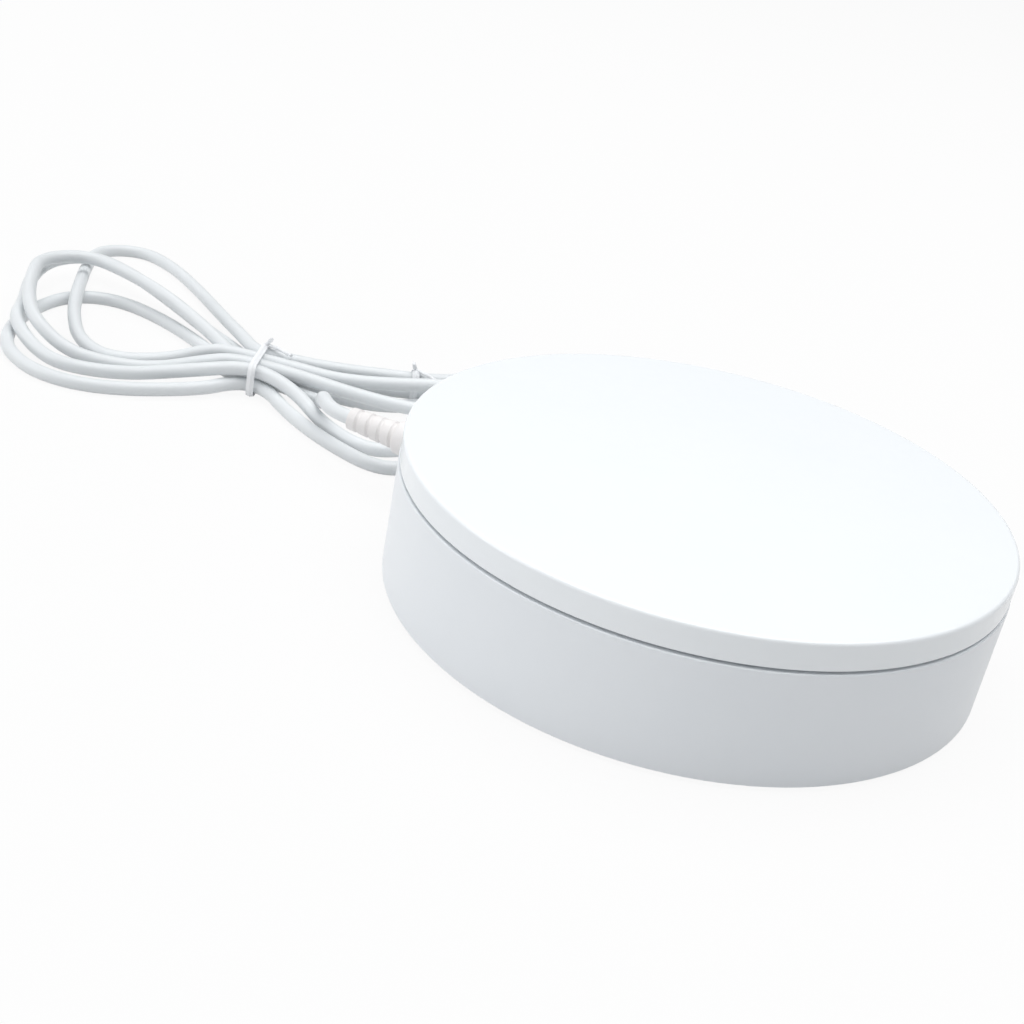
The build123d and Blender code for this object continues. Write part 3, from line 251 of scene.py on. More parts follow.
NODE_FINISHES: dict[str, Finish] = {
    "turn_plate": PLATE_ABS, "base_shell": DRUM_ABS, "bottom_cover": DRUM_ABS, "rubber_feet": FOOT_RUBBER,
    "cover_screws": ZINC_STEEL, "motor_screws": ZINC_STEEL, "board_screws": ZINC_STEEL,
    "gear_screws": ZINC_STEEL, "plate_screws": ZINC_STEEL, "spindle": ZINC_STEEL,
    "retaining_clip": ZINC_STEEL, "motor_shaft": ZINC_STEEL, "gearmotor": ZINC_STEEL,
    "slide_switch": ZINC_STEEL, "spindle_bush": TURNED_BRASS, "thrust_washer": NYLON,
    "retaining_washer": NYLON, "ball_cage": NYLON, "lower_race": ACETAL, "upper_race": ACETAL,
    "drive_gear": ACETAL, "pinion": ACETAL, "bearing_balls": BALL_STEEL, "circuit_board": SOLDER_MASK,
    "driver_chip": BLACK_ABS, "dc_jack": BLACK_ABS, "switch_lever": BLACK_ABS, "capacitor": BLUE_SLEEVE,
    "motor_connector": NYLON, "motor_leads": RED_PVC, "dc_plug": PLUG_PVC, "dc_plug_barrel": NICKEL,
    "usb_plug_grip": PLUG_PVC, "usb_plug_shell": NICKEL, "usb_plug_tongue": NYLON,
    "cord_lead": JACKET_PVC, "cord_hank": JACKET_PVC, "cord_tail": JACKET_PVC, "cord_tie_near": TIE_PE,
    "cord_tie_far": TIE_PE,
}


# Surfaces


def grid_faces(rows: int, columns: int) -> Array:
    """Quads of a grid of points whose last column joins the first, as four corner numbers each."""
    row, column = np.meshgrid(np.arange(rows - 1), np.arange(columns), indexing="ij")
    after = (column + 1) % columns
    here, below = row * columns, (row + 1) * columns
    return np.stack([here + column, here + after, below + after, below + column], -1).reshape(-1, 4)


def tube_faces(rows: int, columns: int) -> list[list[int]]:
    """Faces of a grid of points that is a tube with closed ends."""
    last = (rows - 1) * columns
    ends = [list(range(columns)), list(range(last, last + columns))]
    return grid_faces(rows, columns).tolist() + ends


def joined(parts: Sequence[Surface]) -> Surface:
    """Put the points and faces of several surfaces into one."""
    faces: list[list[int]] = []
    count = 0
    for points, own in parts:
        faces += [[corner + count for corner in face] for face in own]
        count += len(points)
    return np.concatenate([points for points, _ in parts]), faces


def make_piece(
    name: str, points: Array, faces: Sequence, finish: Finish, body: str, crease: float = 40.0
) -> Piece:
    """Put a computed surface into the scene as a smooth piece riding on a body.

    Points that coincide at poles and seams are merged and all faces turned outwards.

    Args:
        name, finish: the piece's name and finish.
        points, faces: vertices, N by 3, in metres, and the faces' corner numbers.
        body: body that it moves with.
        crease: edges that turn by more than this many degrees stay sharp.

    Returns:
        The new object, at the origin.
    """
    mesh = bpy.data.meshes.new(name)
    mesh.from_pydata(points.reshape(-1, 3).tolist(), [], [list(face) for face in faces])
    work = bmesh.new()
    work.from_mesh(mesh)
    bmesh.ops.remove_doubles(work, verts=work.verts, dist=MERGE_REACH)
    bmesh.ops.dissolve_degenerate(work, edges=work.edges, dist=MERGE_REACH)
    bmesh.ops.recalc_face_normals(work, faces=work.faces)
    work.to_mesh(mesh)
    work.free()
    mesh.polygons.foreach_set("use_smooth", np.ones(len(mesh.polygons), bool))
    mesh.set_sharp_from_angle(angle=math.radians(crease))
    piece = add_object(name, mesh)
    piece.data.materials.append(finish.material())
    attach(piece, body)
    return piece


def add_object(name: str, data: bpy.types.ID) -> Piece:
    """Put an object with this data into the scene."""
    made = bpy.data.objects.new(name, data)
    bpy.context.scene.collection.objects.link(made)
    return made


def unit(vectors: Array) -> Array:
    """Scale each vector to a length of 1."""
    return vectors / np.linalg.norm(vectors, axis=-1, keepdims=True)


def crosswise(along: Array, reference: Array) -> Array:
    """Unit vector reference x along, with the X axis as reference where the two are nearly in line."""
    chosen = reference if abs(along @ reference) < ALIGNED else X_AXIS
    return unit(np.cross(chosen, along))


def turned_surface(profile: Array, origin: Array, along: Array, segments: int) -> tuple[Array, Array]:
    """Surface of revolution.

    A point at distance s along the axis and r from it goes to
    origin + s * along + r * (cos(t) * side + sin(t) * up), for t round the circle.

    Args:
        profile: N by 2 array of s and r, first and last r at or near 0 where it is closed.
        origin: a point on the axis.
        along: the axis direction, of length 1.
        segments: points round the circle.

    Returns:
        Points and quads, faces outwards when s grows.
    """
    side = crosswise(along, UP)
    up = np.cross(along, side)
    angle = np.linspace(0, 2 * np.pi, segments, endpoint=False)
    circle = np.cos(angle)[:, None] * side + np.sin(angle)[:, None] * up
    points = origin + profile[:, 0, None, None] * along + profile[:, 1, None, None] * circle[None]
    faces = grid_faces(len(profile), segments)[:, ::-1]
    return points, faces


def arc(
    centre: tuple[float, float], radius: float, start: float, end: float, steps: int
) -> list[tuple[float, float]]:
    """Points of a plane arc, ends included.

    Args:
        centre, radius: middle and radius of the arc.
        start, end: angles of its ends, in degrees.
        steps: number of chords.

    Returns:
        Points as centre + radius * (cos(t), sin(t)).
    """
    angles = np.radians(np.linspace(start, end, steps + 1))
    return [(centre[0] + radius * math.cos(t), centre[1] + radius * math.sin(t)) for t in angles]


def swept_surface(path: Array, section: Array, reference: Array, closed: bool = False) -> Surface:
    """A section carried along a path, with its ends closed or joined.

    At each path point p with tangent t, a section point (a, b) goes to p + a * side + b * up,
    where side = t x reference and up = side x t.

    Args:
        path: N by 3 points.
        section: M by 2 points.
        reference: one direction, or one for each point, that the path never follows.
        closed: whether the path is a loop.

    Returns:
        Points and faces.
    """
    if closed:
        tangent = unit(np.roll(path, -1, 0) - np.roll(path, 1, 0))
    else:
        tangent = unit(np.gradient(path, axis=0))
    side = unit(np.cross(tangent, reference))
    up = np.cross(side, tangent)
    points = path[:, None] + section[:, :1] * side[:, None] + section[:, 1:] * up[:, None]
    count, around = len(path), len(section)
    if not closed:
        return points.reshape(-1, 3), tube_faces(count, around)
    last = (count - 1) * around
    seam = [[last + k, last + (k + 1) % around, (k + 1) % around, k] for k in range(around)]
    return points.reshape(-1, 3), grid_faces(count, around).tolist() + seam


def rounded_section(half_width: float, half_height: float, power: float, points: int) -> Array:
    """Superellipse |a / half_width| ** power + |b / half_height| ** power = 1.

    Args:
        half_width: reach along a.
        half_height: reach along b.
        power: 2 for an ellipse, more for a squarer shape.
        points: number of points.

    Returns:
        Points by 2 array.
    """
    angle = np.linspace(0, 2 * np.pi, points, endpoint=False)
    cosine, sine = np.cos(angle), np.sin(angle)
    across = np.sign(cosine) * np.abs(cosine) ** (2 / power) * half_width
    return np.stack([across, np.sign(sine) * np.abs(sine) ** (2 / power) * half_height], -1)


# Studio


@dataclass
class Studio:
    """Pale floor, soft lamps and the photograph's camera.

    Attributes:
        camera_mm: where the camera stands.
        right, up, back: its own directions in the model's frame.
        lens, sensor_mm: focal length and sensor width.
        floor_half: half the floor's side, in metres.
        floor_glow: share of plain white in the floor, where the camera or a reflection sees it.
        sky_left, sky_right: the surrounding light's strength on either side.
    """

    camera_mm: tuple[float, float, float] = (0.0, -332.064, 179.740)
    right: tuple[float, float, float] = (0.96093887, 0.21603284, 0.17299218)
    up: tuple[float, float, float] = (-0.2496462, 0.40677634, 0.87875468)
    back: tuple[float, float, float] = (0.11947074, -0.88761637, 0.44481898)
    lens: float = 53.42
    sensor_mm: float = 36.0
    floor_half: float = 6.0
    floor_glow: float = 0.92
    sky_left: float = 0.62
    sky_right: float = 0.24

    def build(self) -> None:
        """Make the camera, the floor, the world and the lamps."""
        scene = bpy.context.scene
        scene.view_settings.view_transform = "Standard"
        self.camera(scene)
        self.floor()
        self.world(scene)
        self.lamps()

    def camera(self, scene: bpy.types.Scene) -> None:
        """Stand the camera where the photograph was taken.

        Args:
            scene: scene that it becomes the camera of.
        """
        data = bpy.data.cameras.new("camera")
        data.lens = self.lens
        data.sensor_width = self.sensor_mm
        data.clip_start = 0.01
        data.clip_end = 50.0
        eye = add_object("camera", data)
        rows = zip(self.right, self.up, self.back, [c * MM for c in self.camera_mm])
        eye.matrix_world = Matrix([list(row) for row in rows] + [[0, 0, 0, 1]])
        scene.camera = eye

    def floor(self) -> None:
        """Lay a white floor that keeps a soft share of the object's shadow."""
        half = self.floor_half
        mesh = bpy.data.meshes.new("floor")
        corners = [(-half, -half, 0), (half, -half, 0), (half, half, 0), (-half, half, 0)]
        mesh.from_pydata(corners, [], [(0, 1, 2, 3)])
        floor = add_object("floor", mesh)
        paper = bpy.data.materials.new("white_paper_floor")
        paper.use_nodes = True
        tree = paper.node_tree
        tree.nodes.clear()
        ray = add_node(tree, "ShaderNodeLightPath")
        direct = add_node(
            tree, "ShaderNodeMath", {"operation": "MAXIMUM"},
            n0=ray.outputs["Is Camera Ray"], n1=ray.outputs["Is Glossy Ray"],
        )
        seen = add_node(
            tree, "ShaderNodeMath", {"operation": "MAXIMUM"},
            n0=direct.outputs[0], n1=ray.outputs["Is Transmission Ray"],
        )
        share = add_node(
            tree, "ShaderNodeMath", {"operation": "MULTIPLY"}, n0=seen.outputs[0], n1=self.floor_glow
        )
        matt = add_node(tree, "ShaderNodeBsdfDiffuse", Color=linear("dedede"))
        bright = add_node(tree, "ShaderNodeEmission", Color=(1, 1, 1, 1), Strength=1.0)
        mixed = add_node(
            tree, "ShaderNodeMixShader", n0=share.outputs[0], n1=matt.outputs[0], n2=bright.outputs[0]
        )
        add_node(tree, "ShaderNodeOutputMaterial", Surface=mixed.outputs[0])
        floor.data.materials.append(paper)

    def world(self, scene: bpy.types.Scene) -> None:
        """Surround the set with soft light, stronger on the left; the camera sees plain white.

        Args:
            scene: scene whose world it is.
        """
        world = bpy.data.worlds.new("studio")
        scene.world = world
        world.use_nodes = True
        tree = world.node_tree
        tree.nodes.clear()
        ray = add_node(tree, "ShaderNodeLightPath")
        seen = add_node(
            tree, "ShaderNodeMath", {"operation": "MAXIMUM"},
            n0=ray.outputs["Is Camera Ray"], n1=ray.outputs["Is Transmission Ray"],
        )
        toward = add_node(tree, "ShaderNodeTexCoord")
        parts = add_node(tree, "ShaderNodeSeparateXYZ", Vector=toward.outputs["Generated"])
        fade = add_node(
            tree, "ShaderNodeMapRange", Value=parts.outputs["X"], From_Min=-1.0, From_Max=1.0,
            To_Min=self.sky_left, To_Max=self.sky_right,
        )
        soft = add_node(tree, "ShaderNodeBackground", Color=linear("f8fafc"), Strength=fade.outputs["Result"])
        white = add_node(tree, "ShaderNodeBackground", Color=(1, 1, 1, 1), Strength=1.0)
        mixed = add_node(
            tree, "ShaderNodeMixShader", n0=seen.outputs[0], n1=soft.outputs[0], n2=white.outputs[0]
        )
        add_node(tree, "ShaderNodeOutputWorld", Surface=mixed.outputs[0])

    def lamps(self) -> None:
        """Hang a broad softbox overhead and a weaker one to the left."""
        self.softbox("top_softbox", (0.05, 0.15, 1.4), (0.0, 0.0, 0.0), 1.6, 18.6)
        self.softbox("left_softbox", (-1.5, -0.55, 0.75), (0.0, 0.0, 0.02), 0.9, 6.0)

    def softbox(self, name: str, place: Corner, target: Corner, size: float, watts: float) -> None:
        """Add one square area lamp.

        Args:
            name, watts: the lamp's name and power.
            place, target: where it hangs, and what it faces.
            size: side length in metres.
        """
        data = bpy.data.lights.new(name, "AREA")
        data.shape = "SQUARE"
        data.size = size
        data.energy = watts
        lamp = add_object(name, data)
        back = unit(np.array(place) - np.array(target))
        side = crosswise(back, Y_AXIS)
        top = np.cross(back, side)
        rows = [list(row) for row in zip(side.tolist(), top.tolist(), back.tolist(), place)]
        lamp.matrix_world = Matrix(rows + [[0, 0, 0, 1]])


# Lead


@dataclass
class HankRoute:
    """Control points of the lead: out of the barrel plug, through the tied hank, to the far plug.

    The hank's left loops are corners on rays from the tie, as angle in degrees, reach and
    height. Each loop leaves the waist in one row and layer and comes back in another, and the
    bends behind the drum join one loop to the next. All lengths are in millimetres.

    Attributes:
        tie: middle of the waist.
        step, low: spacing of its rows and layers, and height of the lower layer.
        half, stagger: how far from the tie the strands bend away, and how the rows differ.
        straight: half length of the first and the last run through the tie.
        plug_azimuth, plug_height, plug_tip: direction, height and reach of the barrel plug's tip.
        plug_run: length that the lead goes on straight from there.
        lead_join, tail_join: x where the lead and the tail fall in line with the waist.
        loops, bends, lead, tail: the corners between.
    """

    tie: tuple[float, float] = (-134.0, 64.0)
    step: float = 4.6
    low: float = 3.3
    half: float = 8.0
    stagger: float = 3.5
    straight: float = 2.5
    plug_azimuth: float = 165.0
    plug_height: float = 15.5
    plug_tip: float = 98.25
    plug_run: float = 6.6
    lead_join: float = -125.7
    tail_join: float = -124.0
    loops: list[list[Corner]] = field(
        default_factory=lambda: [
            [
                (151, 21, 2.4), (147, 50, 2.0), (151, 71, 2.0), (160, 80, 2.0), (172, 79, 2.0),
                (184, 77, 2.0), (197, 73, 2.0), (211, 63, 2.0), (222, 47, 2.0), (234, 21.5, 2.4),
            ],
            [
                (131, 24, 2.4), (136, 40, 2.2), (140, 60, 4.4), (143, 80, 6.6), (146, 96, 7.0),
                (155, 98, 7.0), (166, 88, 6.8), (178, 77, 6.8), (188, 74, 6.8), (196, 65, 2.6),
                (204, 56, 2.0), (209, 39, 2.2), (219, 22, 6.0),
            ],
            [
                (142, 20, 4.4), (145, 35, 7.4), (147, 50, 10.0), (149, 67, 11.4), (151, 86.5, 11.4),
                (161, 91, 11.4), (170, 82, 11.4), (182, 73, 11.4), (190, 67, 8.6), (195, 56, 2.8),
                (199, 43, 2.0), (201, 30, 2.6), (206, 17, 7.0),
            ],
            [
                (125, 22, 6.6), (126, 44, 4.0), (127, 72, 2.2), (129, 96, 2.0), (132.5, 112, 2.0),
                (140.5, 114, 2.0), (147.5, 97, 2.0), (155, 82, 5.7), (165, 70, 8.0), (176, 62, 6.4),
                (186, 55, 3.0), (194, 44, 2.0), (188, 29, 2.8), (177, 17, 7.4),
            ],
        ]
    )
    bends: list[list[Corner]] = field(
        default_factory=lambda: [
            [
                (-120, 48, 2), (-104, 35.5, 2), (-85, 26.5, 2), (-76, 38, 2), (-69, 56, 2), (-50, 74, 2),
                (-38, 94, 2), (-50, 109, 2), (-72, 104, 2), (-86.3, 82.5, 3.3), (-97.7, 78.5, 3.3),
                (-117, 74, 2.4),
            ],
            [
                (-119, 53.5, 5.8), (-108.5, 46, 2), (-93, 36.5, 2), (-82.5, 43.5, 2), (-77.5, 56, 2),
                (-68, 68, 2), (-57, 77, 2), (-50.5, 91, 2), (-63, 100, 2), (-78, 85, 2), (-96, 68, 2),
                (-114, 66, 2),
            ],
            [
                (-116, 61.7, 7.2), (-98, 60.5, 6.6), (-82, 62, 6.6), (-67, 71, 6.6), (-60, 84, 6.6),
                (-66, 94, 6.8), (-77, 92, 7.4), (-86.3, 82.5, 7.9), (-97.7, 78.5, 7.9), (-117, 74, 7.2),
            ],
        ]
    )
    lead: list[Corner] = field(
        default_factory=lambda: [
            (-106.0, 35.0, 15.0), (-108.0, 41.5, 11.6), (-110.0, 49.0, 8.0), (-112.0, 55.5, 4.1),
            (-118.0, 60.3, 2.6),
        ]
    )
    tail: list[Corner] = field(
        default_factory=lambda: [
            (-112, 67.2, 7.2), (-98, 71, 8), (-84, 73, 10.6), (-68, 77, 11.8), (-54, 83, 11.4),
            (-42, 88, 7.5), (-31, 94.5, 3.6), (-18, 101, 2), (-4, 104.8, 2), (8, 105.3, 2.3),
            (18, 103.2, 4), (27, 100.2, 4),
        ]
    )

    def waist(self, side: int, row: float, layer: float, way: int) -> Corner:
        """Corner where a strand starts to bend away from the waist.

        Its distance from the tie is half - stagger * (way * row / step - 0.5), so the far rows
        bend first where a loop leaves, and the near rows where it comes back.

        side is 1 to the right of the tie, and way is 1 where the loop leaves, else -1.
        """
        half = self.half - self.stagger * (row / self.step * way - 0.5)
        return (self.tie[0] + side * half, self.tie[1] + row, layer)

    def ray(self, corner: Corner) -> Corner:
        """A loop's corner, from its angle, reach and height."""
        turn = math.radians(corner[0])
        x = self.tie[0] + corner[1] * math.cos(turn)
        return (x, self.tie[1] + corner[1] * math.sin(turn), corner[2])

    def exit(self) -> Corner:
        """Tip of the barrel plug's strain relief."""
        return self.radial(self.plug_tip)

    def radial(self, reach: float) -> Corner:
        """A point on the barrel plug's axis, so far from the plate's axis."""
        turn = math.radians(self.plug_azimuth)
        return (reach * math.cos(turn), reach * math.sin(turn), self.plug_height)

    def points(self) -> list[Corner]:
        """All control points in order, in millimetres."""
        high = self.low + self.step
        far, upper, lower, near = (share * self.step for share in (1.5, 0.5, -0.5, -1.5))
        places = [
            (lower, self.low, near, self.low), (far, self.low, near, high),
            (upper, self.low, lower, high), (far, high, upper, high),
        ]
        x, y = self.tie
        start = [(x + self.straight, y + lower, self.low), (x - self.straight, y + lower, self.low)]
        made = [self.exit(), self.radial(self.plug_tip + self.plug_run), *self.lead]
        made += [(self.lead_join, y + lower, self.low), *start]
        for number, loop in enumerate(self.loops):
            out_row, out_layer, back_row, back_layer = places[number]
            if number > 0:
                made.append(self.waist(1, out_row, out_layer, 1))
            made.append(self.waist(-1, out_row, out_layer, 1))
            made += [self.ray(corner) for corner in loop]
            made.append(self.waist(-1, back_row, back_layer, -1))
            if number < len(self.bends):
                made.append(self.waist(1, back_row, back_layer, -1))
                made += self.bends[number]
        made += [(x - self.straight, y + upper, high), (x + self.straight, y + upper, high)]
        made += [(self.tail_join, y + upper, high), *self.tail]
        return made


@dataclass
class Lead:
    """The white round lead, put up as a tied hank.

    Attributes:
        route: its control points.
        diameter_mm, length_mm: its real diameter and length.
    """

    route: HankRoute = field(default_factory=HankRoute)
    diameter_mm: float = 4.0
    length_mm: float = 1797.0

    def build(self, with_pieces: Sequence[Piece | str]) -> Piece:
        """Lay the lead as one smooth NURBS curve on its route.

        Args:
            with_pieces: the plugs and ties that are on it; not used.

        Returns:
            The cord.
        """
        curve = bpy.data.curves.new("lead_cord", "CURVE")
        curve.dimensions = "3D"
        curve.bevel_depth = self.diameter_mm / 2 * MM
        curve.bevel_resolution = 5
        curve.resolution_u = 10
        curve.use_fill_caps = True
        route = np.array(self.route.points(), float) * MM
        spline = curve.splines.new("NURBS")
        spline.points.add(len(route) - 1)
        spline.points.foreach_set("co", np.column_stack([route, np.ones(len(route))]).ravel())
        spline.order_u = 3
        spline.use_endpoint_u = True
        cord = add_object("lead_cord", curve)
        cord.data.materials.append(JACKET_PVC.material())
        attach(cord, "base")
        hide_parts("cord_lead", "cord_hank", "cord_tail")
        return cord


@dataclass
class DisplayPlate:
    """The turning plate: flat top, rounded rim, plain skirt, and the race's seat below.

    Attributes:
        radius: outer radius in millimetres.
        top, bottom: heights of the top and of the skirt's lower edge.
        under: height of the flat underside.
        inner: radius inside the skirt.
        rim_round, edge_round: radii of the top's rim and of the skirt's lower edges.
        hold: distance of the rings that keep the flat faces flat beside those rounds.
        top_rings: radii of the rings that divide the top.
        seat, seat_depth: inner and outer radius of the shallow seat for the race, and its depth.
    """

    radius: float = 73.0
    top: float = 36.15
    bottom: float = 29.55
    under: float = 33.75
    inner: float = 70.8
    rim_round: float = 0.9
    edge_round: float = 0.3
    hold: float = 0.15
    top_rings: tuple[float, float] = (24.0, 48.0)
    seat: tuple[float, float] = (50.95, 57.05)
    seat_depth: float = 0.4

    def build(self) -> Piece:
        """Turn the plate's section about its axis.

        Returns:
            The plate.
        """
        rim, edge = self.rim_round, self.edge_round
        outline = [(radius, self.top) for radius in (0.0, *self.top_rings, self.radius - rim - self.hold)]
        outline += arc((self.radius - rim, self.top - rim), rim, 90, 0, 12)
        outline += [(self.radius, self.top - rim - self.hold), (self.radius, self.bottom + edge + self.hold)]
        outline += arc((self.radius - edge, self.bottom + edge), edge, 0, -90, 6)
        outline += arc((self.inner + edge, self.bottom + edge), edge, -90, -180, 6)
        outline += [(self.inner, self.under), (self.seat[1], self.under)]
        outline += [(radius, self.under + self.seat_depth) for radius in reversed(self.seat)]
        outline += [(self.seat[0], self.under), (0.0, self.under)]
        profile = np.array(outline)[:, ::-1] * MM
        points, faces = turned_surface(profile, np.zeros(3), UP, 360)
        plate = make_piece("display_plate", points, faces, PLATE_ABS, "rotor")
        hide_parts("turn_plate")
        return plate


@dataclass
class BarrelPlug:
    """Moulded barrel plug with a ribbed, tapering strain relief.

    Attributes:
        azimuth, height_mm, face_mm: its axis, and how far from the plate's axis it starts.
        grip_mm, relief_mm: lengths of its grip and its relief.
        grip_radius, root_radius, tip_radius, end_radius: radii of the grip, the relief's two ends
            and the flat round the lead.
        nose_round, heel_round, heel_share: the grip's edge radii, and how much of the heel's is used.
        groove_mm, groove_place, groove_half: the grooves' depth, and their place and half width as
            shares of a rib.
        ribs, relief_steps: number of ribs, and of points along them.
    """

    azimuth: float = 165.0
    height_mm: float = 15.5
    face_mm: float = 73.35
    grip_mm: float = 10.4
    relief_mm: float = 14.5
    grip_radius: float = 4.6
    root_radius: float = 3.7
    tip_radius: float = 2.8
    end_radius: float = 2.35
    nose_round: float = 0.5
    heel_round: float = 1.1
    heel_share: float = 0.85
    groove_mm: float = 0.55
    groove_place: float = 0.15
    groove_half: float = 0.19
    ribs: int = 4
    relief_steps: int = 161

    def profile(self) -> Array:
        """Radius against distance from the drum.

        The grip is a cylinder with rounded ends. The relief tapers evenly, and at a share p of
        each rib it is groove_mm * clip(1 - |p - groove_place| / groove_half, 0, 1) ** 0.5 thinner.

        Returns:
            N by 2 array of distance and radius in millimetres.
        """
        ease = np.linspace(0, np.pi / 2, 9)
        rise, fall = np.sin(ease), 1 - np.cos(ease)
        nose = np.column_stack(
            [self.nose_round * (1 - rise[::-1]), self.grip_radius - self.nose_round * fall[::-1]]
        )
        heel = np.column_stack(
            [
                self.grip_mm - self.heel_round + self.heel_round * rise,
                self.grip_radius - self.heel_round * fall * self.heel_share,
            ]
        )
        along = np.linspace(0, 1, self.relief_steps)
        phase = (along * self.ribs) % 1.0
        dip = np.clip(1 - np.abs(phase - self.groove_place) / self.groove_half, 0, 1) ** 0.5
        taper = self.root_radius + (self.tip_radius - self.root_radius) * along * (1 - 1 / self.ribs)
        relief = np.column_stack([self.grip_mm + along * self.relief_mm, taper - self.groove_mm * dip])
        end = self.grip_mm + self.relief_mm
        return np.concatenate([[[0.0, 0.0]], nose, heel, relief, [[end, self.end_radius], [end, 0.0]]])

    def build(self) -> Piece:
        """Turn the plug's profile about its axis.

        Returns:
            The plug's overmoulding.
        """
        turn = math.radians(self.azimuth)
        along = np.array([math.cos(turn), math.sin(turn), 0.0])
        origin = np.array([self.face_mm * along[0], self.face_mm * along[1], self.height_mm]) * MM
        points, faces = turned_surface(self.profile() * MM, origin, along, 72)
        plug = make_piece("barrel_plug_grip", points, faces, PLUG_PVC, "base")
        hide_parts("dc_plug")
        return plug


@dataclass
class WireTie:
    """Flat plastic tie with a wire core, closed round the cord, its two ends standing off.

    Attributes:
        name: piece's name.
        node: CAD node that it stands for.
        centre: middle of the bundle, x and y in millimetres.
        heading: direction of the bundle in degrees.
        half: half width of the ring's centreline.
        low, high: heights of the ring's lowest and highest run.
        corner: corner radius.
        root: where the ends start, sideways from the middle.
        ends: for each end, its two corners from the root.
        width, thickness: the ribbon's half sizes.
        web_share, core_share, core_reach: thickness of its web and its core, and the core's reach.
        end_half: half sizes of an end, which is a nearly round wire.
        turns_per_cm: how often an end turns about its own line.
        lean: how far the reference of an end's section leans sideways from upright.
    """

    name: str
    node: str
    centre: tuple[float, float]
    heading: float
    half: float
    low: float
    high: float
    corner: float
    root: float
    ends: list[list[Corner]]
    width: float = 1.1
    thickness: float = 0.42
    web_share: float = 0.45
    core_share: float = 0.55
    core_reach: float = 0.4
    end_half: tuple[float, float] = (0.62, 0.5)
    turns_per_cm: float = 1.1
    lean: float = 0.31

    def frame(self) -> tuple[Array, Array]:
        """Sideways and forward directions of the ring's upright plane."""
        turn = math.radians(self.heading)
        forward = np.array([math.cos(turn), math.sin(turn), 0.0])
        return np.array([-forward[1], forward[0], 0.0]), forward

    def ribbon(self) -> Array:
        """Section of the ribbon: a flat web with the rounder wire core along its middle.

        Across the web at a, the half height is thickness * (web_share + core_share *
        exp(-(a / core_reach) ** 2)) times the web's own rounded end.
        """
        web = rounded_section(self.width, 1.0, 3.0, 28)
        core = self.web_share + self.core_share * np.exp(-((web[:, 0] / self.core_reach) ** 2))
        return np.stack([web[:, 0], web[:, 1] * core * self.thickness], -1)

    def ring(self) -> Surface:
        """Rounded rectangle of ribbon.

        Quarter circles of the corner radius about the four corner centres, joined by straight
        runs. The ribbon's width follows the bundle.

        Returns:
            Points and faces of the closed band.
        """
        sideways, forward = self.frame()
        quarter = np.linspace(0, np.pi / 2, 9)
        centres = np.array([[1, 1], [-1, 1], [-1, -1], [1, -1]], float)
        reach = np.array([self.half - self.corner, (self.high - self.low) / 2 - self.corner])
        angles = quarter[None, :] + np.arange(4)[:, None] * np.pi / 2
        flat = centres[:, None] * reach + self.corner * np.stack([np.cos(angles), np.sin(angles)], -1)
        flat = flat.reshape(-1, 2)
        middle = np.array([self.centre[0], self.centre[1], (self.low + self.high) / 2])
        path = middle + flat[:, :1] * sideways + flat[:, 1:] * UP
        tangent = unit(np.roll(path, -1, 0) - np.roll(path, 1, 0))
        outward = np.cross(tangent, forward)
        return swept_surface(path * MM, self.ribbon() * MM, outward, closed=True)

    def end(self, number: int) -> Surface:
        """One end: a plain wire of slightly oval section that leaves the ring.

        Its line is a quadratic curve (1-t)^2 A + 2t(1-t) B + t^2 C over its three corners, and
        the section turns slowly about it.

        Args:
            number: which end.

        Returns:
            Points and faces of the end.
        """
        sideways, _ = self.frame()
        start = np.array([self.centre[0], self.centre[1], self.high]) + sideways * self.root
        corners = np.array([(0.0, 0.0, 0.0), *self.ends[number]]) + start
        share = np.linspace(0, 1, 60)[:, None]
        path = (1 - share) ** 2 * corners[0] + 2 * share * (1 - share) * corners[1] + share**2 * corners[2]
        tangent = unit(np.gradient(path, axis=0))
        first = unit(np.cross(tangent, UP + self.lean * sideways))
        second = np.cross(tangent, first)
        centimetres = np.linalg.norm(np.diff(path, axis=0), axis=1).sum() / 10.0
        angle = share * self.turns_per_cm * centimetres * 2 * np.pi + number * np.pi / 2
        wire = rounded_section(*self.end_half, 2.0, 20)
        return swept_surface(path * MM, wire * MM, np.cos(angle) * first + np.sin(angle) * second)

    def build(self) -> Piece:
        """Make the ring and its ends as one piece.

        Returns:
            The tie.
        """
        points, faces = joined([self.ring(), *[self.end(number) for number in range(len(self.ends))]])
        tie = make_piece(self.name, points, faces, TIE_PE, "base")
        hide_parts(self.node)
        return tie


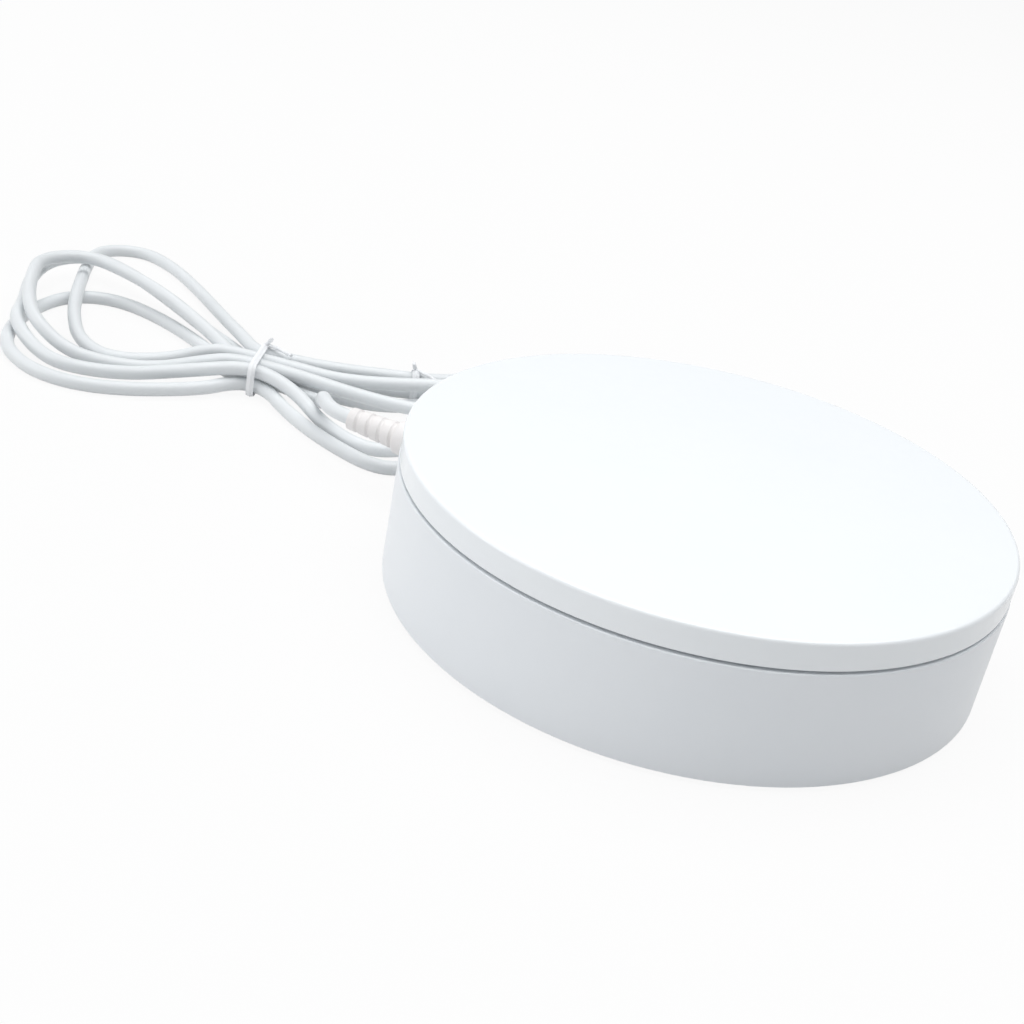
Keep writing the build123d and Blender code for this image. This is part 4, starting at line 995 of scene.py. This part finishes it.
@dataclass
class FarPlug:
    """Flat moulded plug at the lead's far end, with a sheet-metal shell.

    Lengths are in millimetres, and places along the grip are measured from the lead's entry.

    Attributes:
        entry, heading: where the lead enters it, and its direction on the floor.
        relief_mm, grip_mm, shell_mm: lengths of the round relief, the flat block and the shell.
        relief_radius, flare: the relief's first radius, and what it gains.
        half_width, half_height, squareness: the block's half sizes, and its section's power over 2.
        opening: how far before its end the relief widens, and over what length.
        ring_pitch, ring_half, ring_depth, ring_margins: the relief's grooves and plain ends.
        end_round: radius of the block's far edges.
        grooves, groove_half, groove_depth: places and sizes of the block's grooves.
        groove_reach, groove_fade: shares of its half width that they cross, and fade over.
        shell_half, shell_wall, shell_corner: the shell's half sizes, sheet and corner radius.
        window_across, window_along: where its windows start and end.
        tongue_mm: thickness of the tongue inside it.
        contact_reaches, contact_start: where the contacts end and start.
        contact_pitch, contact_half, contact_sink: their spacing, half sizes and seat.
        around: points round the grip's section.
    """

    entry: Corner = (27.0, 100.2, 4.0)
    heading: tuple[float, float] = (9.0, -3.0)
    relief_mm: float = 9.0
    grip_mm: float = 21.0
    shell_mm: float = 12.0
    relief_radius: float = 2.55
    flare: float = 0.55
    half_width: float = 8.0
    half_height: float = 4.0
    squareness: float = 2.6
    opening: tuple[float, float] = (0.6, 2.2)
    ring_pitch: float = 1.8
    ring_half: float = 0.22
    ring_depth: float = 0.42
    ring_margins: tuple[float, float] = (0.6, 1.2)
    end_round: float = 0.7
    grooves: tuple[float, ...] = (15.5, 18.5, 21.5, 24.5)
    groove_half: float = 0.42
    groove_depth: float = 0.32
    groove_reach: float = 0.72
    groove_fade: float = 0.3
    around: int = 72
    shell_half: tuple[float, float] = (6.0, 2.25)
    shell_wall: float = 0.35
    shell_corner: float = 0.6
    window_across: tuple[float, float] = (1.35, 3.6)
    window_along: tuple[float, float] = (5.0, 7.5)
    tongue_mm: float = 1.8
    contact_reaches: tuple[float, ...] = (10.2, 9.3, 9.3, 10.2)
    contact_start: float = 2.0
    contact_pitch: float = 2.3
    contact_half: tuple[float, float] = (0.5, 0.11)
    contact_sink: float = 0.04

    def axes(self) -> tuple[Array, Array]:
        """The plug's forward direction and the one across it."""
        forward = unit(np.array([self.heading[0], self.heading[1], 0.0]))
        return forward, np.cross(forward, UP)

    def shell_root(self) -> Array:
        """Where the shell leaves the block, on the plug's axis."""
        return np.array(self.entry) + (self.relief_mm + self.grip_mm) * self.axes()[0]

    def section(self, place: float) -> Array:
        """Section of the overmoulding at one place.

        A superellipse, eased from the relief's to the block's by 3u^2 - 2u^3. At a distance d
        from its middle, a groove round the relief is ring_depth * clip(1 - |d| / ring_half, 0, 1)
        ** 0.5 deep, d in pitches, and one of the block's groove_depth * exp(-(d / groove_half)**2).

        Returns:
            Points by 2 array, across and up.
        """
        ahead, length = self.opening
        share = np.clip((place - self.relief_mm + ahead) / length, 0, 1)
        eased = share**2 * (3 - 2 * share)
        ring = 0.0
        if self.ring_margins[0] < place < self.relief_mm - self.ring_margins[1]:
            phase = (place / self.ring_pitch) % 1.0
            ring = self.ring_depth * np.clip(1 - abs(phase - 0.5) / self.ring_half, 0, 1) ** 0.5
        taper = self.relief_radius + self.flare * place / self.relief_mm - ring
        total = self.relief_mm + self.grip_mm
        nose = np.clip((place - (total - self.end_round)) / self.end_round, 0, 1)
        shrink = self.end_round * (1 - math.sqrt(max(0.0, 1 - nose**2)))
        width = taper + (self.half_width - taper) * eased - shrink
        height = min(taper + (self.half_height - taper) * eased, self.half_height) - shrink
        shape = rounded_section(width, height, 2.0 + self.squareness * eased, self.around)
        dip = sum(math.exp(-(((place - middle) / self.groove_half) ** 2)) for middle in self.grooves)
        sideways = np.abs(shape[:, 0]) / (self.groove_reach * self.half_width)
        full = np.clip(1 + self.groove_fade - sideways, 0, self.groove_fade) / self.groove_fade
        shape[:, 1] -= np.sign(shape[:, 1]) * self.groove_depth * dip * full
        return shape

    def grip(self) -> Piece:
        """Loft the overmoulding: a ribbed round relief that opens into a flat rounded block.

        Returns:
            The overmoulding.
        """
        forward, across = self.axes()
        origin = np.array(self.entry)
        total = self.relief_mm + self.grip_mm
        fine, coarse = np.linspace(0, self.relief_mm, 72), np.linspace(self.relief_mm, total, 150)
        places = np.unique(np.concatenate([fine, coarse]))
        rings = []
        for place in places:
            shape = self.section(place)
            rings.append(origin + place * forward + shape[:, :1] * across + shape[:, 1:] * UP)
        points = np.concatenate(rings) * MM
        faces = tube_faces(len(places), self.around)
        grip = make_piece("far_plug_grip", points, faces, PLUG_PVC, "base", 55.0)
        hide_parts("usb_plug_grip")
        return grip

    def outline(self) -> list[tuple[float, float]]:
        """The shell's section: four straight sides joined by quarter circles."""
        half_width, half_height = self.shell_half
        corner = self.shell_corner
        right, top = half_width - corner, half_height - corner
        steps = np.linspace(-right, right, 25)
        made = [(x, -half_height) for x in steps[:-1]]
        made += arc((right, -top), corner, -90, 0, 5)
        made += arc((right, top), corner, 0, 90, 5)
        made += [(x, half_height) for x in steps[::-1][1:-1]]
        made += arc((-right, top), corner, 90, 180, 5)
        return made + arc((-right, -top), corner, 180, 270, 5)[:-1]

    def shell(self) -> Piece:
        """Fold the shell: a thin rectangular tube with two square windows in each flat face.

        Faces inside the windows are left out, and the sheet is then given its thickness inwards.

        Returns:
            The shell.
        """
        forward, across = self.axes()
        root = self.shell_root()
        shape = np.array(self.outline())
        places = np.linspace(0, self.shell_mm, 25)
        stations = root + places[:, None] * forward
        points = np.array([station + a * across + b * UP for station in stations for a, b in shape])
        near, far = self.window_across
        start, end = self.window_along
        faces = []
        for face in grid_faces(len(places), len(shape)).tolist():
            sideways, height = np.abs(np.mean([shape[number % len(shape)] for number in face], axis=0))
            place = np.mean([places[number // len(shape)] for number in face])
            flat = abs(height - self.shell_half[1]) < 0.01
            if not (flat and near < sideways < far and start < place < end):
                faces.append(face)
        shell = make_piece("far_plug_shell", points * MM, faces, NICKEL, "base")
        thick = shell.modifiers.new("sheet", "SOLIDIFY")
        thick.thickness = self.shell_wall * MM
        thick.offset = -1.0
        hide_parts("usb_plug_shell")
        return shell

    def contacts(self) -> Piece:
        """Lay four thin contact strips on the tongue.

        Returns:
            The contacts, as one piece.
        """
        forward, across = self.axes()
        root = self.shell_root()
        height = self.shell_half[1] - self.shell_wall - self.tongue_mm
        strip = rounded_section(*self.contact_half, 4.0, 12)
        middle = (len(self.contact_reaches) - 1) / 2
        strips = []
        for number, reach in enumerate(self.contact_reaches):
            start = root + across * (number - middle) * self.contact_pitch + UP * (height - self.contact_sink)
            path = start + np.linspace(self.contact_start, reach, 12)[:, None] * forward
            strips.append(swept_surface(path * MM, strip * MM, UP))
        points, faces = joined(strips)
        return make_piece("far_plug_contacts", points, faces, NICKEL, "base")


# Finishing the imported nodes


class Works:
    """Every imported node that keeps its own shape, in its real finish."""

    def build(self, nodes: dict[str, Piece]) -> None:
        """Give each node its finish.

        Args:
            nodes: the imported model's objects by name.
        """
        for name, node in nodes.items():
            finish = NODE_FINISHES.get(name)
            if finish is None:
                LOG.warning("no finish for %s", name)
                continue
            material = finish.material()
            if not node.data.materials:
                node.data.materials.append(material)
            for number in range(len(node.material_slots)):
                node.material_slots[number].material = material
            LOG.info("%s is %s", name, finish.name)


def near_tie() -> WireTie:
    """The tie round the hank's waist."""
    return WireTie(
        name="waist_tie", node="cord_tie_near", centre=(-135.0, 64.0), heading=8.0, half=10.4,
        low=0.6, high=10.6, corner=2.7, root=7.7,
        ends=[[(5.0, -2.0, 0.8), (9.6, -4.8, 0.5)], [(1.4, -0.8, 1.9), (2.4, -2.4, 3.0)]],
    )


def far_tie() -> WireTie:
    """The tie by the drum."""
    return WireTie(
        name="drum_tie", node="cord_tie_far", centre=(-92.0, 80.5), heading=19.0, half=2.7,
        low=0.6, high=10.6, corner=2.65, root=0.0,
        ends=[[(3.6, -1.4, 0.4), (7.2, -3.0, -0.6)], [(-0.8, -0.5, 1.5), (-0.6, -1.6, 2.8)]],
    )


def main() -> None:
    """Build the scene's pieces in order."""
    logging.basicConfig(level=logging.INFO, format="%(message)s")
    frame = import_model()
    Studio().build()
    Works().build(frame["nodes"])
    DisplayPlate().build()
    plug = BarrelPlug().build()
    far_plug = FarPlug()
    far_end = [far_plug.grip(), far_plug.shell(), far_plug.contacts(), "usb_plug_tongue"]
    ties = [near_tie().build(), far_tie().build()]
    Lead().build([plug, "dc_plug_barrel", *ties, *far_end])


if __name__ == "__main__":
    main()
